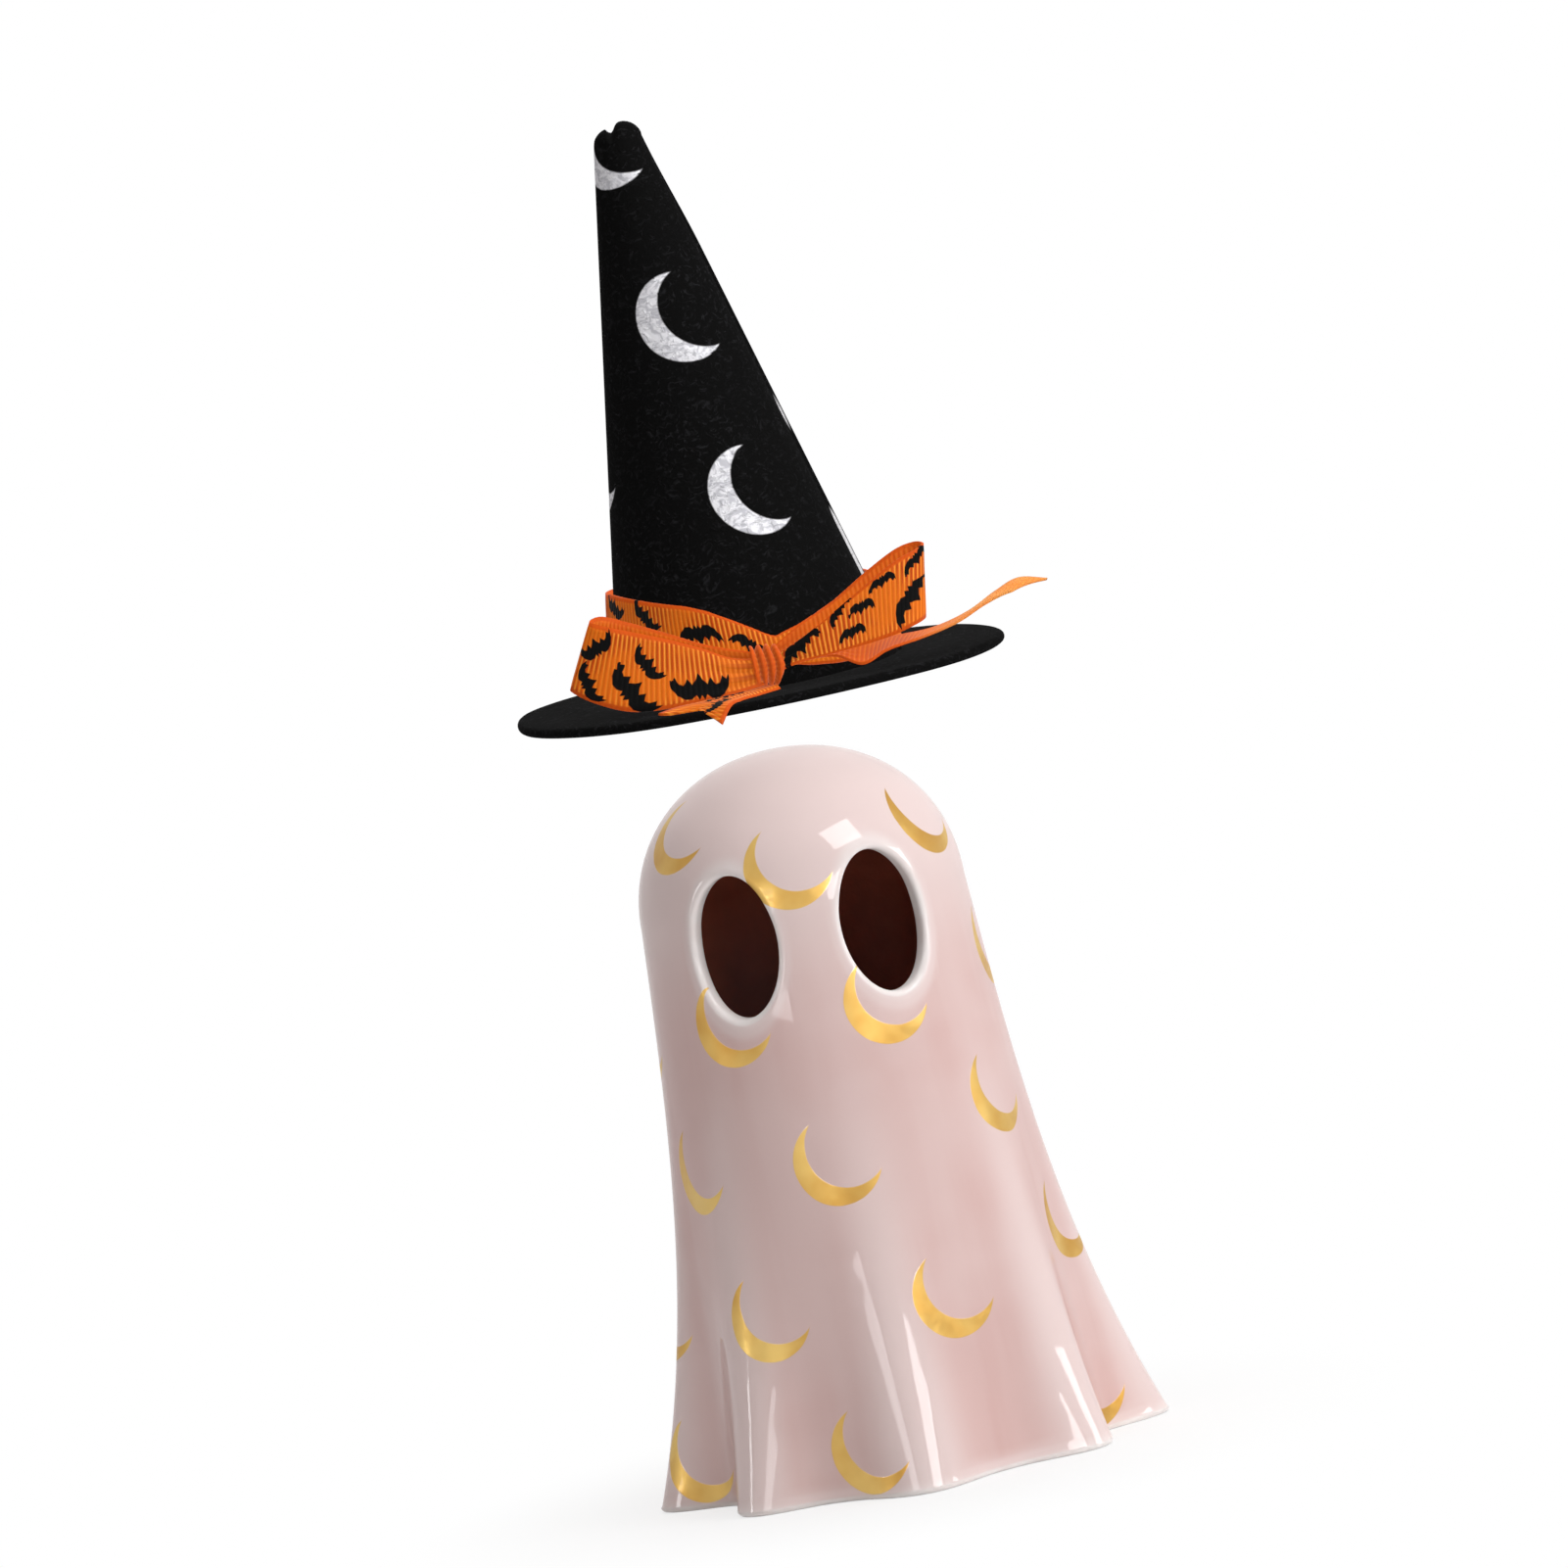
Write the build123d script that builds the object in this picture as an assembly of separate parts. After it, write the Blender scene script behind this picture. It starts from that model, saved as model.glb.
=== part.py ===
"""Glazed ceramic ghost with a felt witch hat that lifts off its head.

Sizes are in millimetres. The origin is the middle of the foot ring on the table, +Z is up, the
face looks along -Y and the hat slides along +Z. The hat is drawn above the head, lifted off.
"""

from build123d import *
import os
from math import cos, pi, radians, sin

# Ghost shell
SHOULDER_Z = 106.0
HEAD_RADIUS = 30.2
CROWN_HEIGHT = 28.8
CROWN_FULLNESS = 2.1
SKIRT_FLARE = 6.5
SKIRT_LOPSIDE = 0.8
FOLD_COUNT = 8
FOLD_DEPTH_FRONT = 6.5
FOLD_DEPTH_SIDE = 11.4
FOLD_TURN = 3.0
FOLD_SPREAD = 0.07
FOLD_SIDE_BIAS = 6
FOLD_SHARPNESS = 1.3
FOLD_ONSET = 3
SHELL_WALL = 4.0
HEM_ROUND = 1.2

# Eye holes
EYE_TURN = 28.0
EYE_DROP = 3.0
EYE_WIDTH = 16.6
EYE_HEIGHT = 26.2
EYE_ROUND = 1.3

# Felt hat
SEAT_DEPTH = 11.2
SEAT_CLEARANCE = 0.4
HAT_LIFT = 22.8
FELT = 1.8
BRIM_WIDTH = 19.2
BRIM_ROUND = 0.5
CONE_HEIGHT = 105.0
TIP_RADIUS = 3.8
TIP_ROUND = 3.2
TIP_LEAN = 6.8
TIP_PLUG = 9.0
TIP_NOTCH = 1.6
TIP_NOTCH_OFFSET = 1.3
SEAM_WIDTH = 0.6
SEAM_DEPTH = 0.5

# Ribbon
RIBBON_WIDTH = 12.7
RIBBON = 0.5
RIBBON_GAP = 0.4
BAND_LEFT_TOP = 20.3
BAND_RIGHT_TOP = 15.0
BAND_LEFT_SLOPE = 0.2
BAND_TIE_SLOPE = 0.65
BAND_TIE_X = 4.7
BAND_TIE_TOP = 9.0
BAND_TIE_LOW = 4.0

# Bow
KNOT_WIDTH = 5.0
KNOT_HEIGHT = 6.6
KNOT_DEPTH = 4.4
KNOT_X = 1.8
KNOT_Z = 4.6
KNOT_ROUND = 1.8
PINCH_WIDTH = 4.0
LOOP_PINCH = 2.8
LOOP_TURN = 3.2
LOOP_SWING = 160.0
LOOP_SET_BACK = 5.0
LOOP_LEAN_IN = 0.15
LOOP_FLAT = 0.65
LEFT_REACH = 34.0
LEFT_LEAN = 0.5
LEFT_LOOP_LOW = 1.1
LEFT_LOOP_TIP_LOW = 6.6
LEFT_LOOP_TOP = 18.4
RIGHT_REACH = 31.6
RIGHT_LEAN = -0.16
RIGHT_LOOP_LOW = 4.2
RIGHT_LOOP_TIP_LOW = 6.8
RIGHT_LOOP_TOP = 21.0
TAIL_REST = 0.2
TAIL_PINCH = 5.0
LEFT_TAIL_LENGTH = 18.0
LEFT_TAIL_FLARE = 9.0
LEFT_TAIL_TURN = 46.0
LEFT_TAIL_NOTCH = 3.0
RIGHT_TAIL_REACH = 55.2
RIGHT_TAIL_CUT = 5.2
RIGHT_TAIL_CLEAR_X = 16.0
RIGHT_TAIL_SWEEP = 19.0
RIGHT_TAIL_CREST_BACK = 6.5
RIGHT_TAIL_CREST_Z = 9.1
RIGHT_TAIL_END_Z = 8.1
RIGHT_TAIL_DROOP = 0.4

# Smoothness of the draped sections
RING_POINTS = 64
SKIRT_LEVELS = (1.0, 0.94, 0.87, 0.78, 0.66, 0.5, 0.3, 0.12)
CROWN_LEVELS = (4, 18, 32, 46, 60, 72, 82)

# Sizes that follow from the ones above
CROWN_Z = SHOULDER_Z + CROWN_HEIGHT
EYE_Z = SHOULDER_Z - EYE_DROP
SEAT_Z = CROWN_Z - SEAT_DEPTH


def crown_radius(rise, inset=0.0):
    """Radius of the head at a share of the crown's height."""
    return (HEAD_RADIUS - inset) * (1 - rise**CROWN_FULLNESS) ** (1 / CROWN_FULLNESS)


MOUTH_RADIUS = crown_radius(1 - SEAT_DEPTH / CROWN_HEIGHT)
CONE_RADIUS = MOUTH_RADIUS + FELT
BRIM_RADIUS = CONE_RADIUS + BRIM_WIDTH
CONE_TAPER = (CONE_RADIUS - TIP_RADIUS) / CONE_HEIGHT
BRIM_TOP_Z = SEAT_Z + SEAT_CLEARANCE + HAT_LIFT + FELT
BOW_BACK = CONE_RADIUS + RIBBON_GAP + RIBBON + RIBBON_GAP
KNOT_MIDDLE_Y = -BOW_BACK - KNOT_DEPTH / 2


def skirt_radius(angle, drop):
    """Radius of the drape at an angle from the face, drop running from the shoulder to the hem."""
    turned = angle - radians(FOLD_TURN)
    turned = turned - FOLD_SPREAD * sin(2 * turned)
    crest = ((1 + cos(FOLD_COUNT * turned)) / 2) ** FOLD_SHARPNESS
    sideways = abs(sin(angle)) ** FOLD_SIDE_BIAS
    depth = FOLD_DEPTH_FRONT + (FOLD_DEPTH_SIDE - FOLD_DEPTH_FRONT) * sideways
    flare = SKIRT_FLARE + SKIRT_LOPSIDE * sin(angle)
    return HEAD_RADIUS + flare * drop + depth * crest * drop**FOLD_ONSET


def ring(radius_at, z):
    """Closed smooth section at height z, its seam at the back."""
    angles = [pi + 2 * pi * step / RING_POINTS for step in range(RING_POINTS)]
    points = [(radius_at(a) * sin(a), -radius_at(a) * cos(a), z) for a in angles]
    return Face(Wire([Spline(*points, periodic=True)]))


def drape(inset):
    """Solid under the draped surface, drawn in all round by inset."""
    sections = []
    for drop in SKIRT_LEVELS:
        z = SHOULDER_Z * (1 - drop)
        sections.append(ring(lambda a: skirt_radius(a, drop) - inset, z))
    for lean in CROWN_LEVELS:
        rise = sin(radians(lean))
        z = SHOULDER_Z + (CROWN_HEIGHT - inset) * rise
        sections.append(ring(lambda a: crown_radius(rise, inset), z))
    sections.append(Vertex(0, 0, CROWN_Z - inset))
    return loft(sections)


def eye_hole(side):
    """Oval cutter through the wall, square to the face on that side."""
    turn = side * radians(EYE_TURN)
    across = (cos(turn), sin(turn), 0)
    outward = (sin(turn), -cos(turn), 0)
    face = Plane(origin=(0, 0, EYE_Z), x_dir=across, z_dir=outward)
    return extrude(face * Ellipse(EYE_WIDTH / 2, EYE_HEIGHT / 2), 2 * HEAD_RADIUS)


def ghost_body():
    """Hollow draped shell with its foot ring on the table and two rounded eye holes."""
    shell = drape(0) - drape(SHELL_WALL)
    hem = shell.edges().group_by(Axis.Z)[0]
    shell = fillet(hem.sort_by(SortBy.LENGTH)[-1], HEM_ROUND)
    shell = shell - eye_hole(-1) - eye_hole(1)
    eye_band = shell.edges().filter_by_position(Axis.Z, EYE_Z - EYE_WIDTH, EYE_Z + EYE_WIDTH)
    rims = [edge for edge in eye_band if edge.length > EYE_HEIGHT and edge.is_closed]
    return fillet(rims, EYE_ROUND)


def cone_lean(z):
    """How far the cone's middle has leaned to the left at a height above the brim."""
    return -TIP_LEAN * z / CONE_HEIGHT


def cone(grow, low, high):
    """Leaning cone between two heights above the brim, grown sideways."""
    ends = []
    for z in (low, high):
        radius = CONE_RADIUS - CONE_TAPER * z + grow
        ends.append(Pos(cone_lean(z), 0, z) * Circle(radius))
    return loft(ends, ruled=True)


def hat_cone():
    """Rolled felt cone with a blunt pinched tip and a butted seam down its right side."""
    felt = cone(0, 0, CONE_HEIGHT)
    felt = fillet(felt.edges().group_by(Axis.Z)[-1], TIP_ROUND)
    felt = felt - cone(-FELT, 0, CONE_HEIGHT - TIP_PLUG)
    notch_x = cone_lean(CONE_HEIGHT) - TIP_NOTCH_OFFSET
    notch = Polyline(
        (notch_x, CONE_HEIGHT - TIP_NOTCH),
        (notch_x + TIP_NOTCH, CONE_HEIGHT + TIP_NOTCH),
        (notch_x - TIP_NOTCH, CONE_HEIGHT + TIP_NOTCH),
        close=True,
    )
    felt = felt - extrude(Plane.XZ * make_face(notch), CONE_RADIUS, both=True)
    tip_x = cone_lean(CONE_HEIGHT) + TIP_RADIUS
    seam = Polyline(
        (CONE_RADIUS - SEAM_DEPTH, 0),
        (CONE_RADIUS + SEAM_DEPTH, 0),
        (tip_x + SEAM_DEPTH, CONE_HEIGHT),
        (tip_x - SEAM_DEPTH, CONE_HEIGHT),
        close=True,
    )
    return felt - extrude(Plane.XZ * make_face(seam), SEAM_WIDTH / 2, both=True)


def hat_brim():
    """Flat felt ring under the cone, softened at its rim."""
    brim = extrude(Circle(BRIM_RADIUS) - Circle(MOUTH_RADIUS), -FELT)
    circles = brim.edges().filter_by(GeomType.CIRCLE)
    rims = [edge for edge in circles if edge.radius > CONE_RADIUS]
    return fillet(rims, BRIM_ROUND)


def ribbon_band():
    """Ribbon round the foot of the cone, higher on the left and drawn down to the knot in front."""
    far = 2 * CONE_RADIUS
    strip = cone(RIBBON_GAP + RIBBON, 0, far) - cone(RIBBON_GAP, 0, far)
    left_low, left_top = (-CONE_RADIUS, BAND_LEFT_TOP - RIBBON_WIDTH), (-CONE_RADIUS, BAND_LEFT_TOP)
    right_low, right_top = (CONE_RADIUS, BAND_RIGHT_TOP - RIBBON_WIDTH), (CONE_RADIUS, BAND_RIGHT_TOP)
    tie_top = (BAND_TIE_X, BAND_TIE_TOP)
    down_to_tie = Spline(
        left_top, tie_top, tangents=[(1, -BAND_LEFT_SLOPE), (1, -BAND_TIE_SLOPE)]
    )
    up_from_tie = Polyline(tie_top, right_top, (far, BAND_RIGHT_TOP))
    below = Polyline(
        (far, BAND_RIGHT_TOP),
        (far, BAND_RIGHT_TOP - RIBBON_WIDTH),
        right_low,
        (BAND_TIE_X, BAND_TIE_LOW),
        left_low,
        (-far, BAND_LEFT_TOP - RIBBON_WIDTH),
        (-far, BAND_LEFT_TOP),
        left_top,
    )
    front = make_face([down_to_tie, up_from_tie, below])
    back = make_face(
        Polyline(
            (-far, BAND_LEFT_TOP - RIBBON_WIDTH),
            left_low,
            right_low,
            (far, BAND_RIGHT_TOP - RIBBON_WIDTH),
            (far, BAND_RIGHT_TOP),
            right_top,
            left_top,
            (-far, BAND_LEFT_TOP),
            close=True,
        )
    )
    before = extrude(Plane.XZ * front, far)
    behind = extrude(Plane.XZ * back, -far)
    return strip & (before + behind)


def bow_knot():
    """Rounded wrap of ribbon that draws the bow together."""
    section = Pos(KNOT_MIDDLE_Y, KNOT_Z) * RectangleRounded(KNOT_DEPTH, KNOT_HEIGHT, KNOT_ROUND)
    wrap = Pos(KNOT_X, 0, 0) * extrude(Plane.YZ * section, KNOT_WIDTH / 2, both=True)
    ends = wrap.edges().group_by(Axis.X)
    return fillet(ends[0] + ends[-1], RIBBON)


def bow_loop(side, reach, lean, low, tip_low, top):
    """Loop of ribbon on one side, its two layers meeting the knot and turning round at the end."""
    back = -BOW_BACK - (KNOT_DEPTH - LOOP_PINCH) / 2
    foot_reach = reach + lean * tip_low
    back_leg = Line((KNOT_X, back), (side * (foot_reach - LOOP_TURN), back + LOOP_SET_BACK))
    along = back_leg % 1
    chord = along.rotate(Axis.Z, -side * LOOP_SWING / 2)
    turn_end = back_leg @ 1 + chord * (2 * LOOP_TURN * sin(radians(LOOP_SWING / 2)))
    turn = TangentArc(back_leg @ 1, turn_end, tangent=along)
    front_leg = TangentArc(turn_end, (KNOT_X, back - LOOP_PINCH), tangent=turn % 1)
    outside = make_face([back_leg, turn, front_leg, Line(front_leg @ 1, back_leg @ 0)])
    wall = outside - offset(outside, -RIBBON)
    upward = Vector(-side * lean, LOOP_LEAN_IN, 1)
    ribbon = extrude(wall, 2 * top * upward.length, dir=upward)
    knot_x = KNOT_X + side * KNOT_WIDTH / 2
    far = side * 2 * reach
    edge = Polyline(
        (knot_x, low),
        (side * reach * LOOP_FLAT, low),
        (side * reach, tip_low),
        (far, tip_low),
        (far, top),
        (side * (reach - lean * (top - tip_low)), top),
        (knot_x, low + PINCH_WIDTH),
        close=True,
    )
    return ribbon & extrude(Plane.XZ * make_face(edge), 2 * BRIM_RADIUS, both=True)


def bow_left_tail():
    """Short tail that runs forward over the edge of the brim, its end cut to a swallowtail."""
    half_pinch, half_width = TAIL_PINCH / 2, RIBBON_WIDTH / 2
    outline = Polyline(
        (0, half_pinch),
        (LEFT_TAIL_FLARE, half_width),
        (LEFT_TAIL_LENGTH, half_width),
        (LEFT_TAIL_LENGTH - LEFT_TAIL_NOTCH, 0),
        (LEFT_TAIL_LENGTH, -half_width),
        (LEFT_TAIL_FLARE, -half_width),
        (0, -half_pinch),
        close=True,
    )
    heading = Pos(KNOT_X, KNOT_MIDDLE_Y, TAIL_REST) * Rot(0, 0, -90 - LEFT_TAIL_TURN)
    return heading * extrude(make_face(outline), RIBBON)


def bow_right_tail():
    """Long waved tail that runs out under the right loop and past the edge of the brim."""
    under = RIGHT_LOOP_LOW - RIBBON - RIBBON_GAP
    wave = Spline(
        (KNOT_X, TAIL_REST),
        (RIGHT_TAIL_CLEAR_X, under / 2),
        (RIGHT_REACH * LOOP_FLAT, under),
        (RIGHT_REACH, under),
        (RIGHT_TAIL_REACH - RIGHT_TAIL_CREST_BACK, RIGHT_TAIL_CREST_Z),
        (RIGHT_TAIL_REACH, RIGHT_TAIL_END_Z),
        tangents=[(1, 0), (1, -RIGHT_TAIL_DROOP)],
    )
    lifted = Pos(0, RIBBON) * wave
    sheet = make_face([wave, lifted, Line(wave @ 0, lifted @ 0), Line(wave @ 1, lifted @ 1)])
    ribbon = extrude(Plane.XZ * sheet, 2 * BRIM_RADIUS, both=True)
    end_back = KNOT_MIDDLE_Y + RIGHT_TAIL_SWEEP
    start_x = KNOT_X + KNOT_WIDTH / 2
    plan = Polyline(
        (start_x, KNOT_MIDDLE_Y - TAIL_PINCH / 2),
        (RIGHT_TAIL_CLEAR_X, KNOT_MIDDLE_Y - TAIL_PINCH / 2),
        (RIGHT_TAIL_REACH - RIGHT_TAIL_CUT, end_back - RIBBON_WIDTH),
        (RIGHT_TAIL_REACH, end_back),
        (RIGHT_REACH, end_back - TAIL_PINCH),
        (RIGHT_TAIL_CLEAR_X, KNOT_MIDDLE_Y + TAIL_PINCH),
        (start_x, KNOT_MIDDLE_Y + TAIL_PINCH / 2),
        close=True,
    )
    return ribbon & extrude(make_face(plan), 2 * RIBBON_WIDTH, both=True)


os.makedirs("parts", exist_ok=True)
on_head = Pos(0, 0, BRIM_TOP_Z)
pieces = {
    "ghost_body": ghost_body(),
    "hat_cone": on_head * hat_cone(),
    "hat_brim": on_head * hat_brim(),
    "ribbon_band": on_head * ribbon_band(),
    "bow_knot": on_head * bow_knot(),
    "bow_left_loop": on_head
    * bow_loop(-1, LEFT_REACH, LEFT_LEAN, LEFT_LOOP_LOW, LEFT_LOOP_TIP_LOW, LEFT_LOOP_TOP),
    "bow_right_loop": on_head
    * bow_loop(1, RIGHT_REACH, RIGHT_LEAN, RIGHT_LOOP_LOW, RIGHT_LOOP_TIP_LOW, RIGHT_LOOP_TOP),
    "bow_left_tail": on_head * bow_left_tail(),
    "bow_right_tail": on_head * bow_right_tail(),
}
for name, piece in pieces.items():
    export_step(piece, f"parts/{name}.step")
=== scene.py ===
"""Looks of a glazed ceramic ghost and its felt witch hat with a printed ribbon bow.

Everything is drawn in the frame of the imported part: metres, +Z up, the face towards -Y. Shapes are
worked out in millimetres, as in the part's source, and become metres when a mesh is made.
"""

import logging
import math
from collections.abc import Sequence
from dataclasses import dataclass, field
from enum import Enum

import bpy
import numpy as np
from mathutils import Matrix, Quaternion, Vector


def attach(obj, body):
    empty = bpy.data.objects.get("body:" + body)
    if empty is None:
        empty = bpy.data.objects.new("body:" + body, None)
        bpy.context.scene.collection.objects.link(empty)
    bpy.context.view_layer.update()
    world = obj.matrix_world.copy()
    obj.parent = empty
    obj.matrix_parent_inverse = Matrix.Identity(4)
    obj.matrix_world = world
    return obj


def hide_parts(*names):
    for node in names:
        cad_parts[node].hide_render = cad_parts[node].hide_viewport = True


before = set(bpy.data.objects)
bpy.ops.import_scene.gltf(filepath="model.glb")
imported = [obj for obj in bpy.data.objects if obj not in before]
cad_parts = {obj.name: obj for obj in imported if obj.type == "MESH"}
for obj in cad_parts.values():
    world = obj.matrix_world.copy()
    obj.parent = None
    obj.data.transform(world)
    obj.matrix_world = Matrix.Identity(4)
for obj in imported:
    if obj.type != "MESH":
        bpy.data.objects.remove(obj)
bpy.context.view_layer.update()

MM = 0.001
PATTERN_GAP = 4.0  # a corner farther than this from its face's middle lies past a pattern's end
NO_PRINT = 9.0  # a place outside every motif
RIB_PITCH = 0.93  # from rib to rib of the ribbon
log = logging.getLogger("ghost")

Triple = tuple[float, float, float]
Colour = tuple[float, float, float, float]


class Body(Enum):
    """Bodies of the part that a piece can ride on."""

    GHOST = "ghost"
    HAT = "hat"


class Slot(Enum):
    """Material slots of the part."""

    GLAZE = "glaze"
    FELT = "felt"
    RIBBON = "ribbon"


class Side(Enum):
    """Side of the figure as the viewer sees it."""

    LEFT = -1
    RIGHT = 1


class RibbonFace(Enum):
    """Which face of the ribbon is laid outwards."""

    PRINTED = 0
    PLAIN = 1
    FADED = 2


class LampRole(Enum):
    """Whether a lamp lights the colours or shows in the gloss."""

    LIGHT = 0
    GLOSS = 1


class EndCut(Enum):
    """How the end of a run of ribbon is cut."""

    SQUARE = 0
    SLANT = 1
    SWALLOW = 2


def srgb(red: int, green: int, blue: int) -> Colour:
    """Turns a colour on the 0 to 255 screen scale into the linear one that shaders take.

    Args:
        red: Red part.
        green: Green part.
        blue: Blue part.

    Returns:
        Linear colour with an alpha of 1.
    """
    shares = [part / 255 for part in (red, green, blue)]
    linear = [s / 12.92 if s <= 0.04045 else ((s + 0.055) / 1.055) ** 2.4 for s in shares]
    return (linear[0], linear[1], linear[2], 1.0)


def smooth_step(value: np.ndarray | float, low: float, high: float) -> np.ndarray:
    """Eases from 0 at low to 1 at high.

    Args:
        value: Where to read the step.
        low: Where it starts.
        high: Where it ends.

    Returns:
        Eased share for each value.
    """
    share = np.clip((np.asarray(value, float) - low) / (high - low), 0, 1)
    return share * share * (3 - 2 * share)


@dataclass(frozen=True)
class Stamp:
    """One printed motif: its middle, its own two axes and its size on the printed surface."""

    middle: np.ndarray
    across: np.ndarray
    upward: np.ndarray
    size: float

    @classmethod
    def tilted(
        cls, middle: Sequence[float], tilt: float, size: float,
        right: Sequence[float] = (1, 0, 0), up: Sequence[float] = (0, 1, 0),
    ) -> "Stamp":
        """Turns a motif on its surface.

        Args:
            middle: Its middle.
            tilt: How far it is turned from right towards up, in degrees.
            size: Its size.
            right: Direction to the right on the surface.
            up: Direction upwards on the surface.

        Returns:
            The stamp.
        """
        turn = math.radians(tilt)
        right, up = np.array(right, float), np.array(up, float)
        across = right * math.cos(turn) + up * math.sin(turn)
        upward = up * math.cos(turn) - right * math.sin(turn)
        return cls(np.array(middle, float), across, upward, size)


def full_turn(columns: int) -> np.ndarray:
    """Even angles once round, in radians."""
    return np.arange(columns) * 2 * math.pi / columns


def place_in_scene(name: str, data: bpy.types.ID) -> bpy.types.Object:
    """Adds an object to the scene.

    Args:
        name: Its name.
        data: The mesh, lamp or camera it shows.

    Returns:
        The object.
    """
    thing = bpy.data.objects.new(name, data)
    bpy.context.scene.collection.objects.link(thing)
    return thing


class MeshDraft:
    """Points and faces of one piece while it is being drawn, in millimetres."""

    def __init__(self) -> None:
        """Starts with nothing drawn."""
        self.points: list[np.ndarray] = []
        self.count = 0
        self.faces: list[tuple[int, ...]] = []
        self.finishes: list[int] = []
        self.values: dict[str, list[np.ndarray]] = {}

    def row(self, points: np.ndarray, **values: np.ndarray | float) -> np.ndarray:
        """Adds a row of points.

        Args:
            points: One point to a line.
            **values: Numbers or triples kept with each point, with the same names for every row.

        Returns:
            The points' places in the mesh.
        """
        points = np.asarray(points, float).reshape(-1, 3)
        self.points.append(points)
        for name, value in values.items():
            wide = np.asarray(value, float)
            shape = (len(points), 3) if wide.ndim and wide.shape[-1] == 3 else (len(points),)
            self.values.setdefault(name, []).append(np.broadcast_to(wide, shape))
        self.count += len(points)
        return np.arange(self.count - len(points), self.count)

    def bridge(
        self, first: Sequence[int], second: Sequence[int], closed: bool = True, finish: int = 0
    ) -> None:
        """Joins two rows of the same length with four-sided faces.

        Args:
            first: One row.
            second: The next row.
            closed: Whether the rows run round to their start.
            finish: Which of the piece's finishes the faces take.
        """
        steps = len(first) if closed else len(first) - 1
        for step in range(steps):
            after = (step + 1) % len(first)
            self.face((first[step], first[after], second[after], second[step]), finish)

    def stack(
        self, rows: Sequence[Sequence[int]], closed: bool = True, finish: int = 0,
        inwards: bool = False,
    ) -> None:
        """Joins rows that follow each other.

        Args:
            rows: The rows in order.
            closed: Whether the rows run round to their start.
            finish: Which of the piece's finishes the faces take.
            inwards: Whether the faces look to the other side.
        """
        for pair in zip(rows, rows[1:]):
            self.bridge(*(pair[::-1] if inwards else pair), closed, finish)

    def fan(self, ring: Sequence[int], tip: int, finish: int = 0) -> None:
        """Closes a ring with triangles to one point.

        Args:
            ring: The ring's places.
            tip: The point's place.
            finish: Which of the piece's finishes the faces take.
        """
        for step in range(len(ring)):
            self.face((ring[step], ring[(step + 1) % len(ring)], tip), finish)

    def face(self, corners: Sequence[int], finish: int = 0) -> None:
        """Adds one face by its corners' places."""
        self.faces.append(tuple(int(corner) for corner in corners))
        self.finishes.append(finish)

    def make(self, name: str, materials: Sequence[bpy.types.Material]) -> bpy.types.Object:
        """Turns the draft into a smooth object in metres.

        Args:
            name: The piece's name.
            materials: Its finishes, in the order that the faces count them.

        Returns:
            The new object, in the scene.
        """
        mesh = bpy.data.meshes.new(name)
        points = np.concatenate(self.points)
        mesh.from_pydata((points * MM).tolist(), [], self.faces)
        mesh.polygons.foreach_set("material_index", self.finishes)
        mesh.polygons.foreach_set("use_smooth", [True] * len(self.faces))
        for key, rows in self.values.items():
            data = np.concatenate(rows)
            kind, slot = ("FLOAT_VECTOR", "vector") if data.ndim == 2 else ("FLOAT", "value")
            mesh.attributes.new(key, kind, "POINT").data.foreach_set(slot, data.ravel())
        for material in materials:
            mesh.materials.append(material)
        mesh.update()
        return place_in_scene(name, mesh)


def lay_stamps(
    piece: bpy.types.Object, flat: np.ndarray, stamps: Sequence[Stamp], name: str
) -> None:
    """Gives each face corner its place in the nearest motif, counted in the motif's own size.

    A face that spans the two ends of the flat pattern gets no print.

    Args:
        piece: The printed piece.
        flat: Each vertex's place on the surface before it was folded, or in space.
        stamps: The motifs.
        name: Name of the attribute that holds the places.
    """
    mesh = piece.data
    corner_point = np.zeros(len(mesh.loops), int)
    mesh.loops.foreach_get("vertex_index", corner_point)
    sides = np.zeros(len(mesh.polygons), int)
    mesh.polygons.foreach_get("loop_total", sides)
    starts = np.concatenate(([0], np.cumsum(sides)[:-1]))
    middles = np.add.reduceat(flat[corner_point], starts) / sides[:, None]
    centres = np.array([stamp.middle for stamp in stamps])
    reach = np.linalg.norm(middles[:, None] - centres[None], axis=2)
    nearest = np.repeat(reach.argmin(axis=1), sides)
    away = flat[corner_point] - centres[nearest]
    across = np.array([stamp.across for stamp in stamps])[nearest]
    upward = np.array([stamp.upward for stamp in stamps])[nearest]
    size = np.array([stamp.size for stamp in stamps])[nearest]
    place = np.stack([(away * across).sum(1), (away * upward).sum(1)], axis=1)
    straight = np.maximum(np.linalg.norm(place, axis=1), 1e-6)
    place *= (np.linalg.norm(away, axis=1) / straight / size)[:, None]
    data = np.column_stack([place, np.zeros(len(place))])
    from_face = np.linalg.norm(flat[corner_point] - np.repeat(middles, sides, axis=0), axis=1)
    data[from_face > PATTERN_GAP] = NO_PRINT
    mesh.attributes.new(name, "FLOAT_VECTOR", "CORNER").data.foreach_set("vector", data.ravel())


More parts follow.
